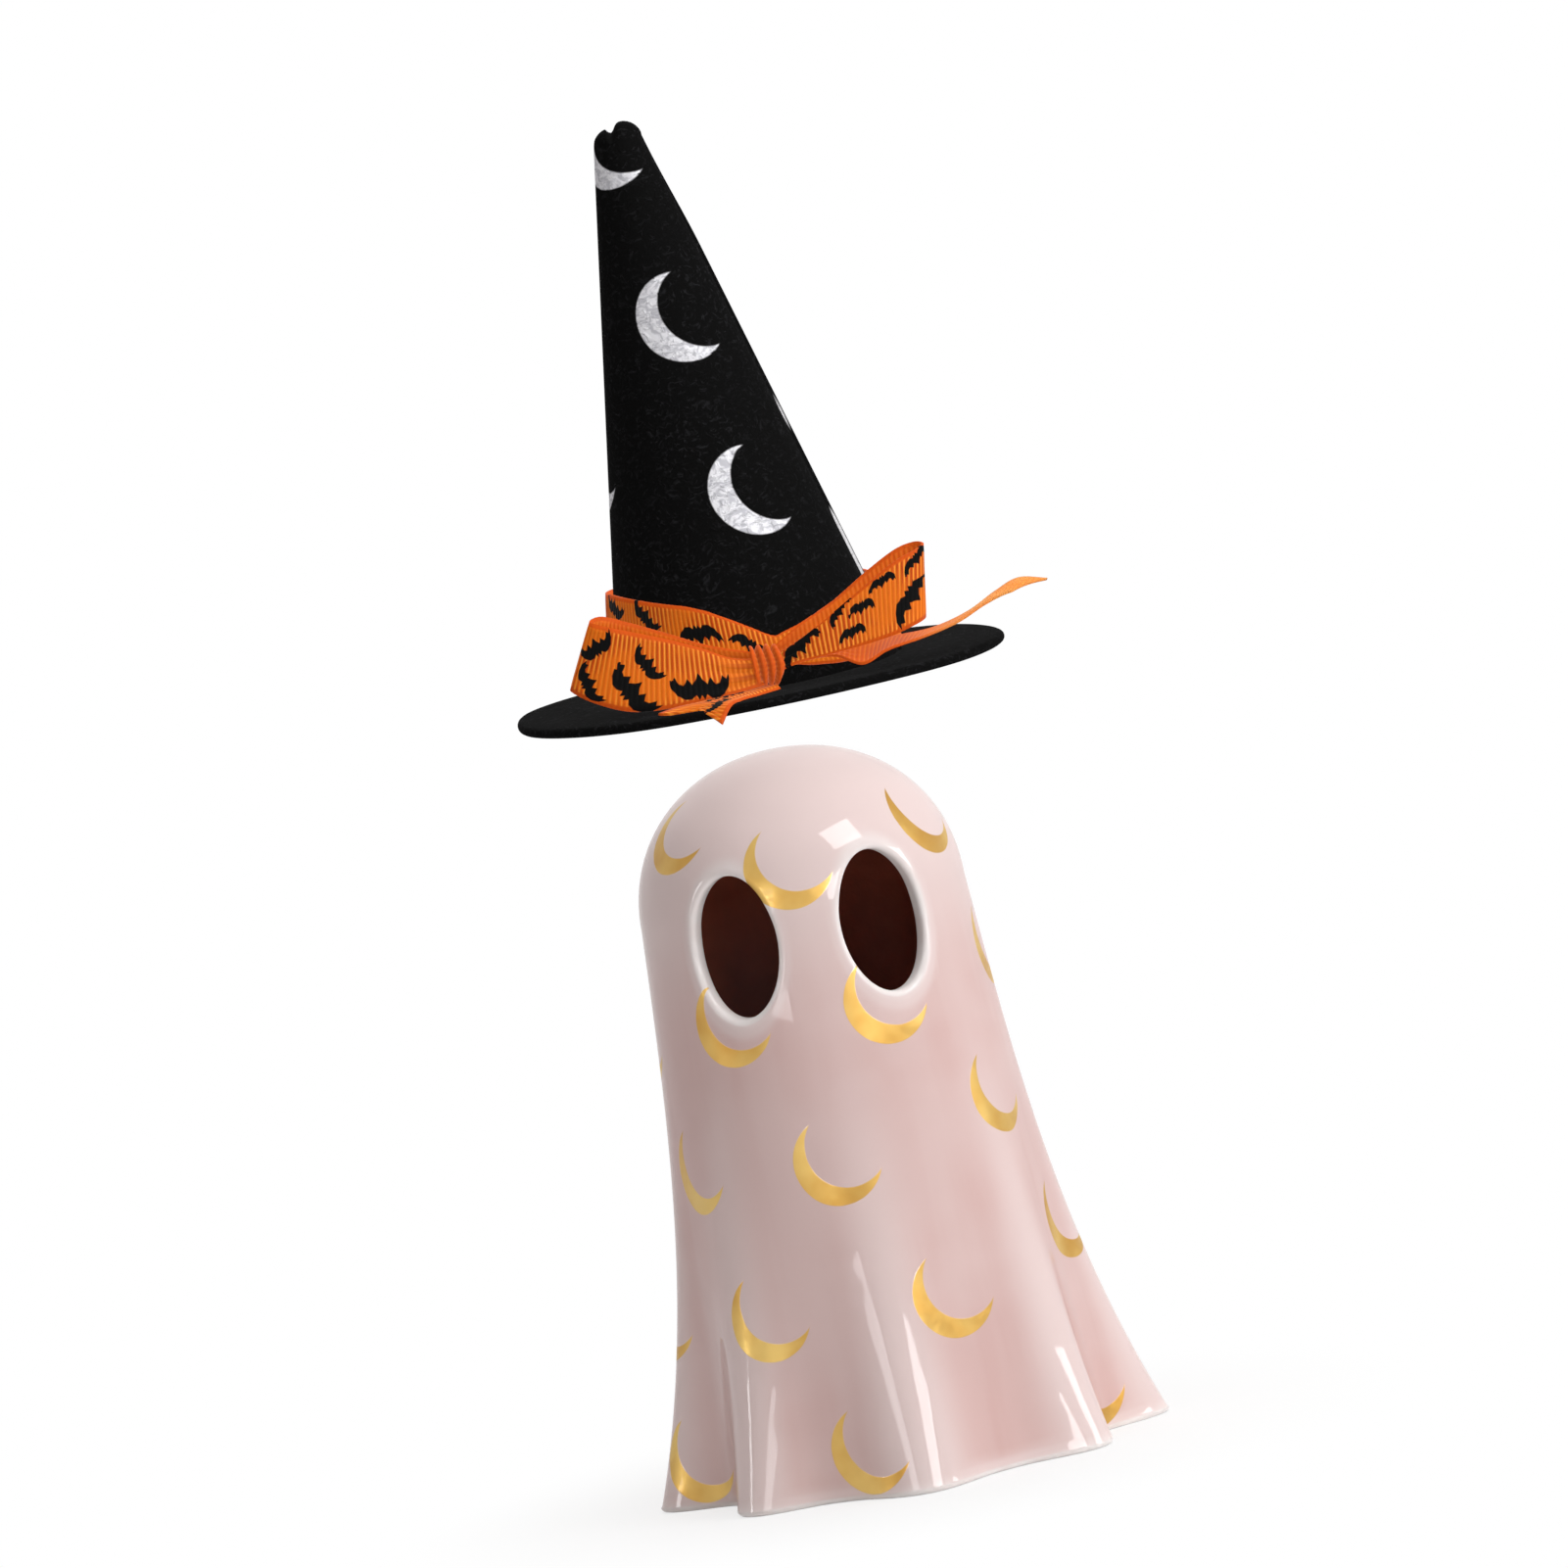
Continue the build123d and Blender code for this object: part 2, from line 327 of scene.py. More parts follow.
class Graph:
    """Draws the nodes of one material, world or node group."""

    def __init__(self, tree: bpy.types.NodeTree) -> None:
        """Takes the tree to draw in."""
        self.tree = tree

    def add(
        self, kind: str, inputs: dict[str | int, object] | None = None, **settings: object
    ) -> bpy.types.Node:
        """Adds a node.

        Args:
            kind: The node's type, without the words that all shader nodes begin with.
            inputs: Values or sockets for its inputs, by name or number.
            **settings: Values for its own settings.

        Returns:
            The node.
        """
        node = self.tree.nodes.new("ShaderNode" + kind)
        for name, value in settings.items():
            setattr(node, name, value)
        self.fill(node, inputs or {})
        return node

    def fill(self, node: bpy.types.Node, inputs: dict[str | int, object]) -> None:
        """Links a node's inputs to other nodes, or sets their values.

        Args:
            node: The node.
            inputs: Values or sockets for its inputs, by name or number.
        """
        for name, value in inputs.items():
            if isinstance(value, bpy.types.NodeSocket):
                self.tree.links.new(value, node.inputs[name])
            else:
                node.inputs[name].default_value = value

    def math(self, operation: str, first: object, second: object = 0.0) -> bpy.types.NodeSocket:
        """Adds a Math node and returns its result."""
        return self.add("Math", {0: first, 1: second}, operation=operation).outputs[0]

    def times(self, first: object, second: object) -> bpy.types.NodeSocket:
        """Multiplies two values."""
        return self.math("MULTIPLY", first, second)

    def vector(self, operation: str, first: object, second: object = (0, 0, 0)) -> bpy.types.Node:
        """Adds a Vector Math node and returns it."""
        return self.add("VectorMath", {0: first, 1: second}, operation=operation)

    def mix(self, share: object, first: object, second: object) -> bpy.types.NodeSocket:
        """Adds a colour mix and returns its result."""
        node = self.add("Mix", {0: share, 6: first, 7: second}, data_type="RGBA")
        return node.outputs[2]

    def ease(
        self, value: object, low: object, high: object, start: float = 0.0, end: float = 1.0
    ) -> bpy.types.NodeSocket:
        """Eases a value from start at low to end at high.

        Args:
            value: The value to read.
            low: Where the easing starts.
            high: Where it ends.
            start: Result at and below low.
            end: Result at and above high.

        Returns:
            The eased value.
        """
        inputs = {"Value": value, "From Min": low, "From Max": high}
        inputs |= {"To Min": start, "To Max": end}
        return self.add("MapRange", inputs, interpolation_type="SMOOTHSTEP").outputs["Result"]

    def spread(self, share: object, start: float, end: float) -> bpy.types.NodeSocket:
        """Eases from start to end as a share goes from 0 to 1."""
        return self.ease(share, 0.0, 1.0, start, end)

    def bump(self, height: object, strength: float, distance: float) -> bpy.types.NodeSocket:
        """Adds a Bump node and returns the normal it gives."""
        inputs = {"Height": height, "Strength": strength, "Distance": distance}
        return self.add("Bump", inputs).outputs[0]

    def place(self) -> bpy.types.NodeSocket:
        """Returns the place on the object."""
        return self.add("TexCoord").outputs["Object"]

    def attribute(self, name: str) -> bpy.types.Node:
        """Adds a node that reads one of the mesh's attributes."""
        return self.add("Attribute", attribute_name=name)

    def group(
        self, tree: bpy.types.NodeTree, place: object, **values: object
    ) -> bpy.types.NodeSocket:
        """Places a node group that has one output.

        Args:
            tree: The group.
            place: Where on the surface it is read.
            **values: Values or sockets for its other inputs.

        Returns:
            The group's output.
        """
        node = self.tree.nodes.new("ShaderNodeGroup")
        node.node_tree = tree
        self.fill(node, {"Place": place, **values})
        return node.outputs[0]

    def find(self, kind: str) -> bpy.types.Node:
        """Returns the tree's own node of one type."""
        return next(node for node in self.tree.nodes if node.type == kind)


class SurfaceEffects:
    """Node groups that more than one finish uses."""

    def __init__(self) -> None:
        """Draws each group once."""
        self.crescent = self.draw_crescent()
        self.tone = self.draw_tone()
        self.fibre = self.draw_fibre()

    @staticmethod
    def start(
        name: str, inputs: dict[str, float | None], outputs: Sequence[str]
    ) -> tuple[Graph, bpy.types.Node, bpy.types.Node]:
        """Starts a group.

        Args:
            name: The group's name.
            inputs: Its inputs with their usual values, None for a place on the surface.
            outputs: Its outputs, each a value.

        Returns:
            A graph to draw in, and the nodes for its inputs and outputs.
        """
        tree = bpy.data.node_groups.new(name, "ShaderNodeTree")
        for label, value in inputs.items():
            kind = "NodeSocketVector" if value is None else "NodeSocketFloat"
            socket = tree.interface.new_socket(label, in_out="INPUT", socket_type=kind)
            if value is not None:
                socket.default_value = value
        for label in outputs:
            tree.interface.new_socket(label, in_out="OUTPUT", socket_type="NodeSocketFloat")
        entry = tree.nodes.new("NodeGroupInput")
        exit_node = tree.nodes.new("NodeGroupOutput")
        return Graph(tree), entry, exit_node

    def draw_crescent(self) -> bpy.types.NodeTree:
        """Draws a crescent mask: a disc with a round bite out of one side and a frayed edge.

        Returns:
            The group.
        """
        inputs = {"Place": None, "Bite": 0.9, "Shift": 0.39, "Softness": 0.03, "Fray": 0.0}
        graph, entry, result = self.start("Crescent", inputs, ["Mask"])
        shift = graph.add("CombineXYZ", {"X": entry.outputs["Shift"]}).outputs[0]
        from_middle = graph.vector("LENGTH", entry.outputs["Place"]).outputs["Value"]
        from_bite = graph.vector("DISTANCE", entry.outputs["Place"], shift).outputs["Value"]
        outer = graph.math("ADD", from_middle, entry.outputs["Fray"])
        inner = graph.math("SUBTRACT", from_bite, entry.outputs["Fray"])
        soft = entry.outputs["Softness"]
        inside = graph.ease(outer, 1.0, graph.math("SUBTRACT", 1.0, soft))
        bite_end = graph.math("ADD", entry.outputs["Bite"], soft)
        outside = graph.ease(inner, entry.outputs["Bite"], bite_end)
        graph.fill(result, {"Mask": graph.times(inside, outside)})
        return graph.tree

    def draw_tone(self) -> bpy.types.NodeTree:
        """Draws slow uneven patches, from 0 to 1.

        Returns:
            The group.
        """
        inputs = {"Place": None, "Scale": 40.0, "Low": 0.35, "High": 0.65}
        graph, entry, result = self.start("Uneven tone", inputs, ["Tone"])
        noise = graph.add(
            "TexNoise",
            {"Vector": entry.outputs["Place"], "Scale": entry.outputs["Scale"], "Detail": 3.0},
        )
        tone = graph.ease(noise.outputs[0], entry.outputs["Low"], entry.outputs["High"])
        graph.fill(result, {"Tone": tone})
        return graph.tree

    def draw_fibre(self) -> bpy.types.NodeTree:
        """Draws short crossing fibres, from 0 to 1.

        Returns:
            The group.
        """
        inputs = {"Place": None, "Scale": 900.0, "Sparse": 0.55}
        graph, entry, result = self.start("Fibres", inputs, ["Fibre"])
        swirl = graph.add("TexNoise", {"Vector": entry.outputs["Place"], "Scale": 260.0})
        bend = graph.vector("SCALE", swirl.outputs["Color"])
        bend.inputs["Scale"].default_value = 0.004
        place = graph.vector("ADD", entry.outputs["Place"], bend.outputs[0]).outputs[0]
        strands = []
        for turn, stretch in (((0.4, 0.3, 0.2), (1, 0.16, 1)), ((0.9, -0.5, 1.4), (0.16, 1, 1))):
            laid = graph.add("Mapping", {"Vector": place, "Rotation": turn, "Scale": stretch})
            noise = graph.add(
                "TexNoise", {"Vector": laid.outputs[0], "Scale": entry.outputs["Scale"]}
            )
            strands.append(noise.outputs[0])
        most = graph.math("MAXIMUM", *strands)
        full = graph.math("ADD", entry.outputs["Sparse"], 0.2)
        graph.fill(result, {"Fibre": graph.ease(most, entry.outputs["Sparse"], full)})
        return graph.tree


def new_material(name: str) -> tuple[bpy.types.Material, Graph, bpy.types.Node]:
    """Starts a material.

    Args:
        name: The material's name.

    Returns:
        The material, a graph to draw in, and its Principled shader.
    """
    material = bpy.data.materials.new(name)
    material.use_nodes = True
    graph = Graph(material.node_tree)
    return material, graph, graph.find("BSDF_PRINCIPLED")


@dataclass(frozen=True)
class GlazeFinish:
    """Pink glaze over a white body, thin and pale on edges, with crescents in gold lustre; the white
    on the eye rims is also a painted highlight.
    """

    pink: Colour = srgb(236, 215, 212)
    rose: Colour = srgb(220, 184, 179)
    white_body_and_highlight: Colour = srgb(250, 245, 243)
    gold: Colour = srgb(224, 189, 110)
    old_gold: Colour = srgb(200, 152, 72)
    gold_shine: float = 0.4
    gold_relief: float = 0.06
    gold_roughness: tuple[float, float] = (0.28, 0.4)
    roughness: float = 0.3
    coat: tuple[float, float] = (0.6, 0.2)
    coat_roughness: float = 0.035
    fray: float = 0.004
    patch_scale: float = 22.0
    trail_scale: float = 110.0
    breakup_scale: float = 160.0
    patina_scale: float = 80.0
    brush_scale: float = 700.0
    wave_scale: float = 70.0

    def make(self, effects: SurfaceEffects) -> bpy.types.Material:
        """Draws the glaze.

        Args:
            effects: The shared node groups.

        Returns:
            The material.
        """
        material, graph, shader = new_material("glaze")
        place = graph.place()
        thin = graph.attribute("thin").outputs["Fac"]
        breakup = graph.group(effects.tone, place, Scale=self.breakup_scale)
        pool = graph.times(graph.ease(thin, 0.0, -1.0), self.pool_depth(graph, place, effects))
        # White body where the glaze is thin; on the eye rims this white is also a painted highlight.
        bare_body_and_highlight = graph.times(graph.ease(thin, 0.0, 1.0), graph.spread(breakup, 0.8, 1.0))
        glaze = graph.mix(pool, self.pink, self.rose)
        glaze = graph.mix(bare_body_and_highlight, glaze, self.white_body_and_highlight)
        moon = graph.group(
            effects.crescent, graph.attribute("moon").outputs["Vector"],
            Fray=graph.spread(breakup, -self.fray, self.fray),
        )
        moon = graph.times(moon, graph.ease(thin, 0.9, 1.0, 1.0, 0.0))
        patina = graph.group(effects.tone, place, Scale=self.patina_scale, Low=0.3, High=0.7)
        lustre = graph.mix(patina, self.gold, self.old_gold)
        brushed = graph.group(effects.fibre, place, Scale=self.brush_scale, Sparse=0.45)
        streak = graph.spread(brushed, *self.gold_roughness)
        wave = graph.add("TexNoise", {"Vector": place, "Scale": self.wave_scale, "Detail": 1.0})
        relief = graph.math("ADD", wave.outputs[0], graph.times(moon, self.gold_relief))
        normal = graph.bump(relief, 0.12, 0.002)
        graph.fill(shader, {
            "Base Color": graph.mix(moon, glaze, lustre),
            "Metallic": graph.times(moon, self.gold_shine),
            "Roughness": graph.add("Mix", {0: moon, 2: self.roughness, 3: streak}).outputs[0],
            "Coat Weight": graph.spread(moon, *self.coat), "Coat Roughness": self.coat_roughness,
            "Specular IOR Level": 0.0, "Normal": normal, "Coat Normal": normal,
        })
        return material

    def pool_depth(
        self, graph: Graph, place: bpy.types.NodeSocket, effects: SurfaceEffects
    ) -> bpy.types.NodeSocket:
        """Draws how deep the pooled glaze lies, in slow patches and in trails that ran down.

        Args:
            graph: The material's graph.
            place: Place on the object.
            effects: The shared node groups.

        Returns:
            Depth of the pooled glaze, about 0.5 to 1.
        """
        patches = graph.group(effects.tone, place, Scale=self.patch_scale)
        downwards = graph.add("Mapping", {"Vector": place, "Scale": (1, 1, 0.1)}).outputs[0]
        trails = graph.group(effects.tone, downwards, Scale=self.trail_scale)
        slow = graph.spread(patches, 0.6, 1.0)
        return graph.times(slow, graph.spread(trails, 0.86, 1.04))


@dataclass(frozen=True)
class BisqueFinish:
    """Brown unglazed inside."""

    brown: Colour = srgb(188, 102, 72)
    dark: Colour = srgb(162, 84, 58)

    def make(self, effects: SurfaceEffects) -> bpy.types.Material:
        """Draws the bisque.

        Args:
            effects: The shared node groups.

        Returns:
            The material.
        """
        material, graph, shader = new_material("bisque")
        place = graph.place()
        tone = graph.group(effects.tone, place, Scale=60.0)
        grain = graph.add("TexNoise", {"Vector": place, "Scale": 900.0}).outputs[0]
        graph.fill(shader, {
            "Base Color": graph.mix(tone, self.brown, self.dark), "Roughness": 0.85,
            "Normal": graph.bump(grain, 0.2, 0.0003),
        })
        return material


@dataclass(frozen=True)
class FeltFinish:
    """Black pressed felt with crescents printed in silver that the fibres break up."""

    black: Colour = srgb(17, 17, 17)
    fibre: Colour = srgb(42, 42, 44)
    silver: Colour = srgb(226, 226, 230)
    worn_silver: Colour = srgb(184, 184, 190)
    raw_edge: Colour = srgb(214, 214, 217)
    silver_shine: float = 0.15
    moon_shift: float = 0.51
    nap_scale: float = 1300.0
    tuft_scale: float = 750.0
    streak_scale: float = 1000.0
    patch_scale: float = 55.0

    def make(self, effects: SurfaceEffects) -> bpy.types.Material:
        """Draws the felt.

        Args:
            effects: The shared node groups.

        Returns:
            The material.
        """
        material, graph, shader = new_material("felt")
        place = graph.place()
        fibre = graph.group(effects.fibre, place, Scale=self.nap_scale)
        coarse = graph.group(effects.fibre, place, Scale=self.tuft_scale, Sparse=0.58)
        tone = graph.group(effects.tone, place, Scale=self.patch_scale)
        lint = graph.times(fibre, graph.spread(tone, 0.4, 0.75))
        pile = graph.mix(lint, self.black, self.fibre)
        edge = graph.attribute("raw").outputs["Fac"]
        pile = graph.mix(graph.ease(edge, 0.35, 0.7), pile, self.raw_edge)
        fray = graph.spread(coarse, -0.004, 0.012)
        moon = graph.group(
            effects.crescent, graph.attribute("moon").outputs["Vector"],
            Fray=fray, Softness=0.04, Shift=self.moon_shift,
        )
        streaks = graph.group(effects.fibre, place, Scale=self.streak_scale, Sparse=0.46)
        flecks = graph.mix(streaks, self.silver, self.worn_silver)
        height = graph.math("ADD", graph.times(coarse, 0.6), fibre)
        graph.fill(shader, {
            "Base Color": graph.mix(moon, pile, flecks),
            "Metallic": graph.times(moon, self.silver_shine),
            "Roughness": graph.spread(moon, 0.95, 0.5), "Specular IOR Level": 0.01,
            "Normal": graph.bump(height, 0.5, 0.0004),
        })
        return material


@dataclass(frozen=True)
class GrosgrainFinish:
    """Orange ribbed ribbon: printed with black bats, plain on its other face, or faded; painted
    highlight and shade on its ribs and painted shade in its creases.
    """

    face: RibbonFace
    orange: Colour = srgb(242, 118, 14)
    # The two rib colours are a painted highlight on the rib tops and a painted shade in the grooves.
    rib_painted_highlight: Colour = srgb(255, 166, 60)
    rib_painted_shade: Colour = srgb(192, 68, 5)
    selvedge: Colour = srgb(224, 88, 10)
    # Painted shade for the hollows of the gathers near the knot.
    painted_crease_shade: Colour = srgb(170, 54, 8)
    faded: Colour = srgb(248, 172, 88)
    ink: Colour = srgb(5, 5, 5)
    fading: tuple[float, float] = (24.0, 44.0)
    patch_scale: float = 110.0
    thread_scale: float = 1500.0

    def make(self, effects: SurfaceEffects) -> bpy.types.Material:
        """Draws the ribbon.

        Args:
            effects: The shared node groups.

        Returns:
            The material.
        """
        material, graph, shader = new_material(f"grosgrain_{self.face.name.lower()}")
        place = graph.place()
        cloth = graph.add("SeparateXYZ", {0: graph.attribute("cloth").outputs["Vector"]})
        phase = graph.times(cloth.outputs["X"], 2 * math.pi / RIB_PITCH)
        rib = graph.math("COSINE", phase)
        tone = graph.group(effects.tone, place, Scale=self.patch_scale)
        # Random patches where the painted rib highlight and the painted groove shade show most.
        show = graph.spread(tone, 0.25, 1.0)
        # Painted shade in the grooves between ribs, then a painted highlight on the rib tops.
        groove = graph.times(graph.ease(rib, 0.2, -1.0), show)
        rib_highlight_mask = graph.times(graph.ease(rib, 0.2, 1.0), show)
        colour = graph.mix(groove, self.orange, self.rib_painted_shade)
        colour = graph.mix(rib_highlight_mask, colour, self.rib_painted_highlight)
        # Painted shade in the hollows where the ribbon is gathered near the knot.
        fold = graph.ease(graph.attribute("fold").outputs["Fac"], 0.3, 1.0, 0.0, 0.8)
        colour = graph.mix(fold, colour, self.painted_crease_shade)
        edge = graph.ease(graph.math("ABSOLUTE", cloth.outputs["Z"]), 0.86, 0.92)
        colour = graph.mix(edge, colour, self.selvedge)
        if self.face is RibbonFace.PRINTED:
            bat = self.bat_mask(graph)
            colour = graph.mix(bat, colour, self.ink)
            shine = graph.spread(bat, 0.1, 0.05)
        else:
            change = self.selvedge
            if self.face is RibbonFace.FADED:
                outwards = graph.ease(cloth.outputs["X"], *self.fading)
                change = graph.mix(outwards, self.selvedge, self.faded)
            colour = graph.mix(graph.spread(tone, 0.5, 0.8), colour, change)
            shine = 0.1
        thread = graph.group(effects.fibre, place, Scale=self.thread_scale)
        graph.fill(shader, {
            "Base Color": colour, "Roughness": 0.6, "Specular IOR Level": shine,
            "Normal": graph.bump(thread, 0.25, 0.0001),
        })
        return material

    @staticmethod
    def bat_mask(graph: Graph) -> bpy.types.NodeSocket:
        """Draws one bat with arched wings from the outlines of its upper and lower edges.

        Args:
            graph: The material's graph.

        Returns:
            Mask that is 1 in the bat.
        """
        upper = ((0, 0.32), (0.08, 0.46), (0.16, 0.3), (0.3, 0.42), (0.5, 0.42), (0.72, 0.27),
                 (0.9, 0.02), (1, -0.34))
        lower = ((0, -0.46), (0.1, -0.26), (0.24, -0.1), (0.36, -0.3), (0.5, -0.1), (0.64, -0.15),
                 (0.76, -0.38), (0.86, -0.26), (1, -0.44))
        axes = graph.add("SeparateXYZ", {0: graph.attribute("bat").outputs["Vector"]})
        out = graph.math("ABSOLUTE", axes.outputs["X"])
        edges = []
        for outline in (upper, lower):
            curve = graph.add("FloatCurve", {"Value": out})
            points = curve.mapping.curves[0].points
            for x, y in outline[1:-1]:
                points.new(x, y + 0.5)
            points[0].location = (0, outline[0][1] + 0.5)
            points[len(outline) - 1].location = (1, outline[-1][1] + 0.5)
            for point in points:
                point.handle_type = "VECTOR"
            curve.mapping.update()
            edges.append(graph.math("SUBTRACT", curve.outputs[0], 0.5))
        under = graph.math("SUBTRACT", edges[0], axes.outputs["Y"])
        over = graph.math("SUBTRACT", axes.outputs["Y"], edges[1])
        inside = graph.times(graph.ease(under, 0.0, 0.05), graph.ease(over, 0.0, 0.05))
        return graph.times(inside, graph.ease(out, 1.0, 0.96))


def set_in_frame(piece: bpy.types.Object, body: Body, slot: Slot, *nodes: str) -> None:
    """Puts a piece on its body, sets which rays see it by its body and slot, and lets it stand for
    the part's nodes.

    Args:
        piece: The piece.
        body: The body it rides on.
        slot: The slot its finish belongs to.
        *nodes: Nodes of the part that it stands for.
    """
    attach(piece, body.value)
    piece.visible_glossy = body is Body.GHOST
    piece.visible_diffuse = body is Body.GHOST
    piece.visible_shadow = slot is not Slot.FELT
    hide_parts(*nodes)
    log.info("%s: rides on %s, stands for %s", piece.name, body.value, ", ".join(nodes))


@dataclass
class GhostDrape:
    """Hollow draped shell with folds, two eye holes, a rounded hem and printed crescents."""

    shoulder_z: float = 106.0
    head_radius: float = 30.2
    crown_height: float = 28.8
    crown_fullness: float = 2.1
    flare: float = 6.5
    lopside: float = 0.8
    fold_count: int = 8
    fold_front: float = 6.5
    fold_side: float = 11.4
    fold_turn: float = 3.0
    fold_spread: float = 0.07
    fold_bias: float = 6.0
    fold_sharpness: float = 1.3
    fold_onset: float = 3.0
    wall: float = 4.0
    hem_round: float = 1.2
    eye_turn: float = 28.0
    eye_z: float = 103.0
    eye_half: tuple[float, float] = (8.3, 13.1)
    eye_round: float = 1.3
    eye_window: tuple[float, float] = (22.0, 17.5)
    eye_steps: int = 12
    crest_pale: float = 0.45
    crest_clear: float = 0.7
    edge_pale: float = 0.6
    hem_pale_z: tuple[float, float] = (4.0, 1.0)
    eye_pale_reach: tuple[float, float] = (1.38, 1.1)
    pool_z: tuple[float, float] = (122.0, 75.0)
    columns: int = 180
    skirt_rows: int = 62
    crown_rows: int = 26
    patch_rings: int = 6
    rim_rings: int = 5
    moon_size: float = 8.4
    moon_tilt: float = 50.0
    moons: tuple[tuple[float, float], ...] = (
        (-57, 124.5), (-3, 116.5), (64, 119.5), (124, 118), (183, 122), (243, 117),
        (-33.5, 89.7), (22, 89), (88, 93), (146, 88), (205, 91), (-92, 87),
        (-60, 63), (-5, 62), (60, 67.5), (118, 63), (178, 60), (238, 64),
        (-36, 35.5), (22.5, 34), (85, 40.5), (145, 34), (206, 37), (-90, 35),
        (-77, 9.5), (-10.5, 9.3), (74.5, 9.5), (119, 8), (178, 10), (236, 8),
    )

    def crest(self, angle: np.ndarray) -> np.ndarray:
        """How near an angle is to the ridge of a fold.

        Args:
            angle: Angles from the face, towards the viewer's right.

        Returns:
            1 on a ridge and 0 in a valley.
        """
        turned = angle - math.radians(self.fold_turn)
        turned = turned - self.fold_spread * np.sin(2 * turned)
        return ((1 + np.cos(self.fold_count * turned)) / 2) ** self.fold_sharpness

    def radius(self, angle: np.ndarray, z: np.ndarray, inset: float = 0.0) -> np.ndarray:
        """Radius of the drape.

        Args:
            angle: Angles from the face.
            z: Heights above the table.
            inset: How far the surface is drawn in.

        Returns:
            Radius at each angle and height.
        """
        drop = np.clip(1 - z / self.shoulder_z, 0, None)
        sideways = np.abs(np.sin(angle)) ** self.fold_bias
        depth = self.fold_front + (self.fold_side - self.fold_front) * sideways
        flare = self.flare + self.lopside * np.sin(angle)
        skirt = self.head_radius + flare * drop + depth * self.crest(angle) * drop**self.fold_onset
        rise = np.clip((z - self.shoulder_z) / (self.crown_height - inset), 0, 1)
        full = self.crown_fullness
        crown = (self.head_radius - inset) * (1 - rise**full) ** (1 / full)
        return np.where(z > self.shoulder_z, crown, skirt - inset)

    def points(self, angle: np.ndarray, z: np.ndarray, inset: float = 0.0) -> np.ndarray:
        """Places on the drape.

        Args:
            angle: Angles from the face.
            z: Heights above the table.
            inset: How far the surface is drawn in.

        Returns:
            One point for each angle and height.
        """
        angle, z = np.broadcast_arrays(np.asarray(angle, float), np.asarray(z, float))
        radius = self.radius(angle, z, inset)
        return np.stack([radius * np.sin(angle), -radius * np.cos(angle), z], axis=-1)

    def heights(self, inset: float) -> np.ndarray:
        """Heights of the rows of one skin, from its foot to just under the crown's top.

        Args:
            inset: How far the skin lies inside the outer one.

        Returns:
            The heights.
        """
        foot = self.hem_round if inset == 0 else 0.0
        skirt = np.linspace(foot, self.shoulder_z, self.skirt_rows + 1)
        lean = np.linspace(0, math.pi / 2, self.crown_rows + 1)[1:-1]
        crown = self.shoulder_z + (self.crown_height - inset) * np.sin(lean)
        return np.concatenate([skirt, crown])

    def yaw(self, side: Side) -> float:
        """Angle of an eye from the face, in radians."""
        return side.value * math.radians(self.eye_turn)

    def beside_eye(self, side: Side, points: np.ndarray) -> np.ndarray:
        """How far points lie to the side of an eye's middle."""
        yaw = self.yaw(side)
        return points[:, 0] * math.cos(yaw) + points[:, 1] * math.sin(yaw)

    def in_eye_plane(
        self, side: Side, across: np.ndarray, up: np.ndarray, inset: float
    ) -> np.ndarray:
        """How far out the drape is, seen square on to an eye.

        Args:
            side: Which eye.
            across: Distances to the side of the eye's middle.
            up: Distances above it.
            inset: How far the surface is drawn in.

        Returns:
            Distance from the ghost's axis along the eye's own line.
        """
        yaw = self.yaw(side)
        out = np.full_like(across, self.head_radius - inset)
        for _ in range(self.eye_steps):
            radius = self.radius(yaw + np.arctan2(across, out), self.eye_z + up, inset)
            out = np.sqrt(np.maximum(radius**2 - across**2, 1.0))
        return out

    def from_eye_plane(
        self, side: Side, across: np.ndarray, up: np.ndarray, out: np.ndarray
    ) -> np.ndarray:
        """Turns places seen square on to an eye into points of the frame.

        Args:
            side: Which eye.
            across: Distances to the side of the eye's middle.
            up: Distances above it.
            out: Distances from the ghost's axis along the eye's own line.

        Returns:
            One point for each place.
        """
        yaw = self.yaw(side)
        x = across * math.cos(yaw) + out * math.sin(yaw)
        y = across * math.sin(yaw) - out * math.cos(yaw)
        return np.stack([x, y, self.eye_z + up], axis=-1)

    def thinness(self, points: np.ndarray) -> np.ndarray:
        """How thin the glaze lies: 1 where the white body shows, below 0 where the glaze pooled.

        Args:
            points: Points of the drape.

        Returns:
            One number for each point, from -1 to 1.
        """
        angle = np.arctan2(points[:, 0], -points[:, 1])
        z = points[:, 2]
        drop = np.clip(1 - z / self.shoulder_z, 0, 1)
        crest = self.crest(angle)
        at_hem = self.edge_pale * smooth_step(z, *self.hem_pale_z)
        pale = np.maximum(self.crest_pale * crest**2 * drop**1.4, at_hem)
        for side in Side:
            across = self.beside_eye(side, points)
            from_eye = np.hypot(across / self.eye_half[0], (z - self.eye_z) / self.eye_half[1])
            facing = np.cos(angle - self.yaw(side)) > 0
            near_eye = smooth_step(from_eye, *self.eye_pale_reach)
            pale = np.maximum(pale, self.edge_pale * facing * near_eye)
        pooled = smooth_step(z, *self.pool_z) * (1 - self.crest_clear * crest * drop)
        return pale - pooled * (1 - pale)

    def oval(self, turn: np.ndarray, grow: float) -> tuple[np.ndarray, np.ndarray]:
        """Outline of an eye hole, grown outwards.

        Args:
            turn: Where round the oval, in radians.
            grow: How far outside the hole's wall.

        Returns:
            Distances across and up from the eye's middle.
        """
        half_width, half_height = self.eye_half
        out_x, out_y = np.cos(turn) / half_width, np.sin(turn) / half_height
        long = np.hypot(out_x, out_y)
        across = half_width * np.cos(turn) + grow * out_x / long
        up = half_height * np.sin(turn) + grow * out_y / long
        return across, up

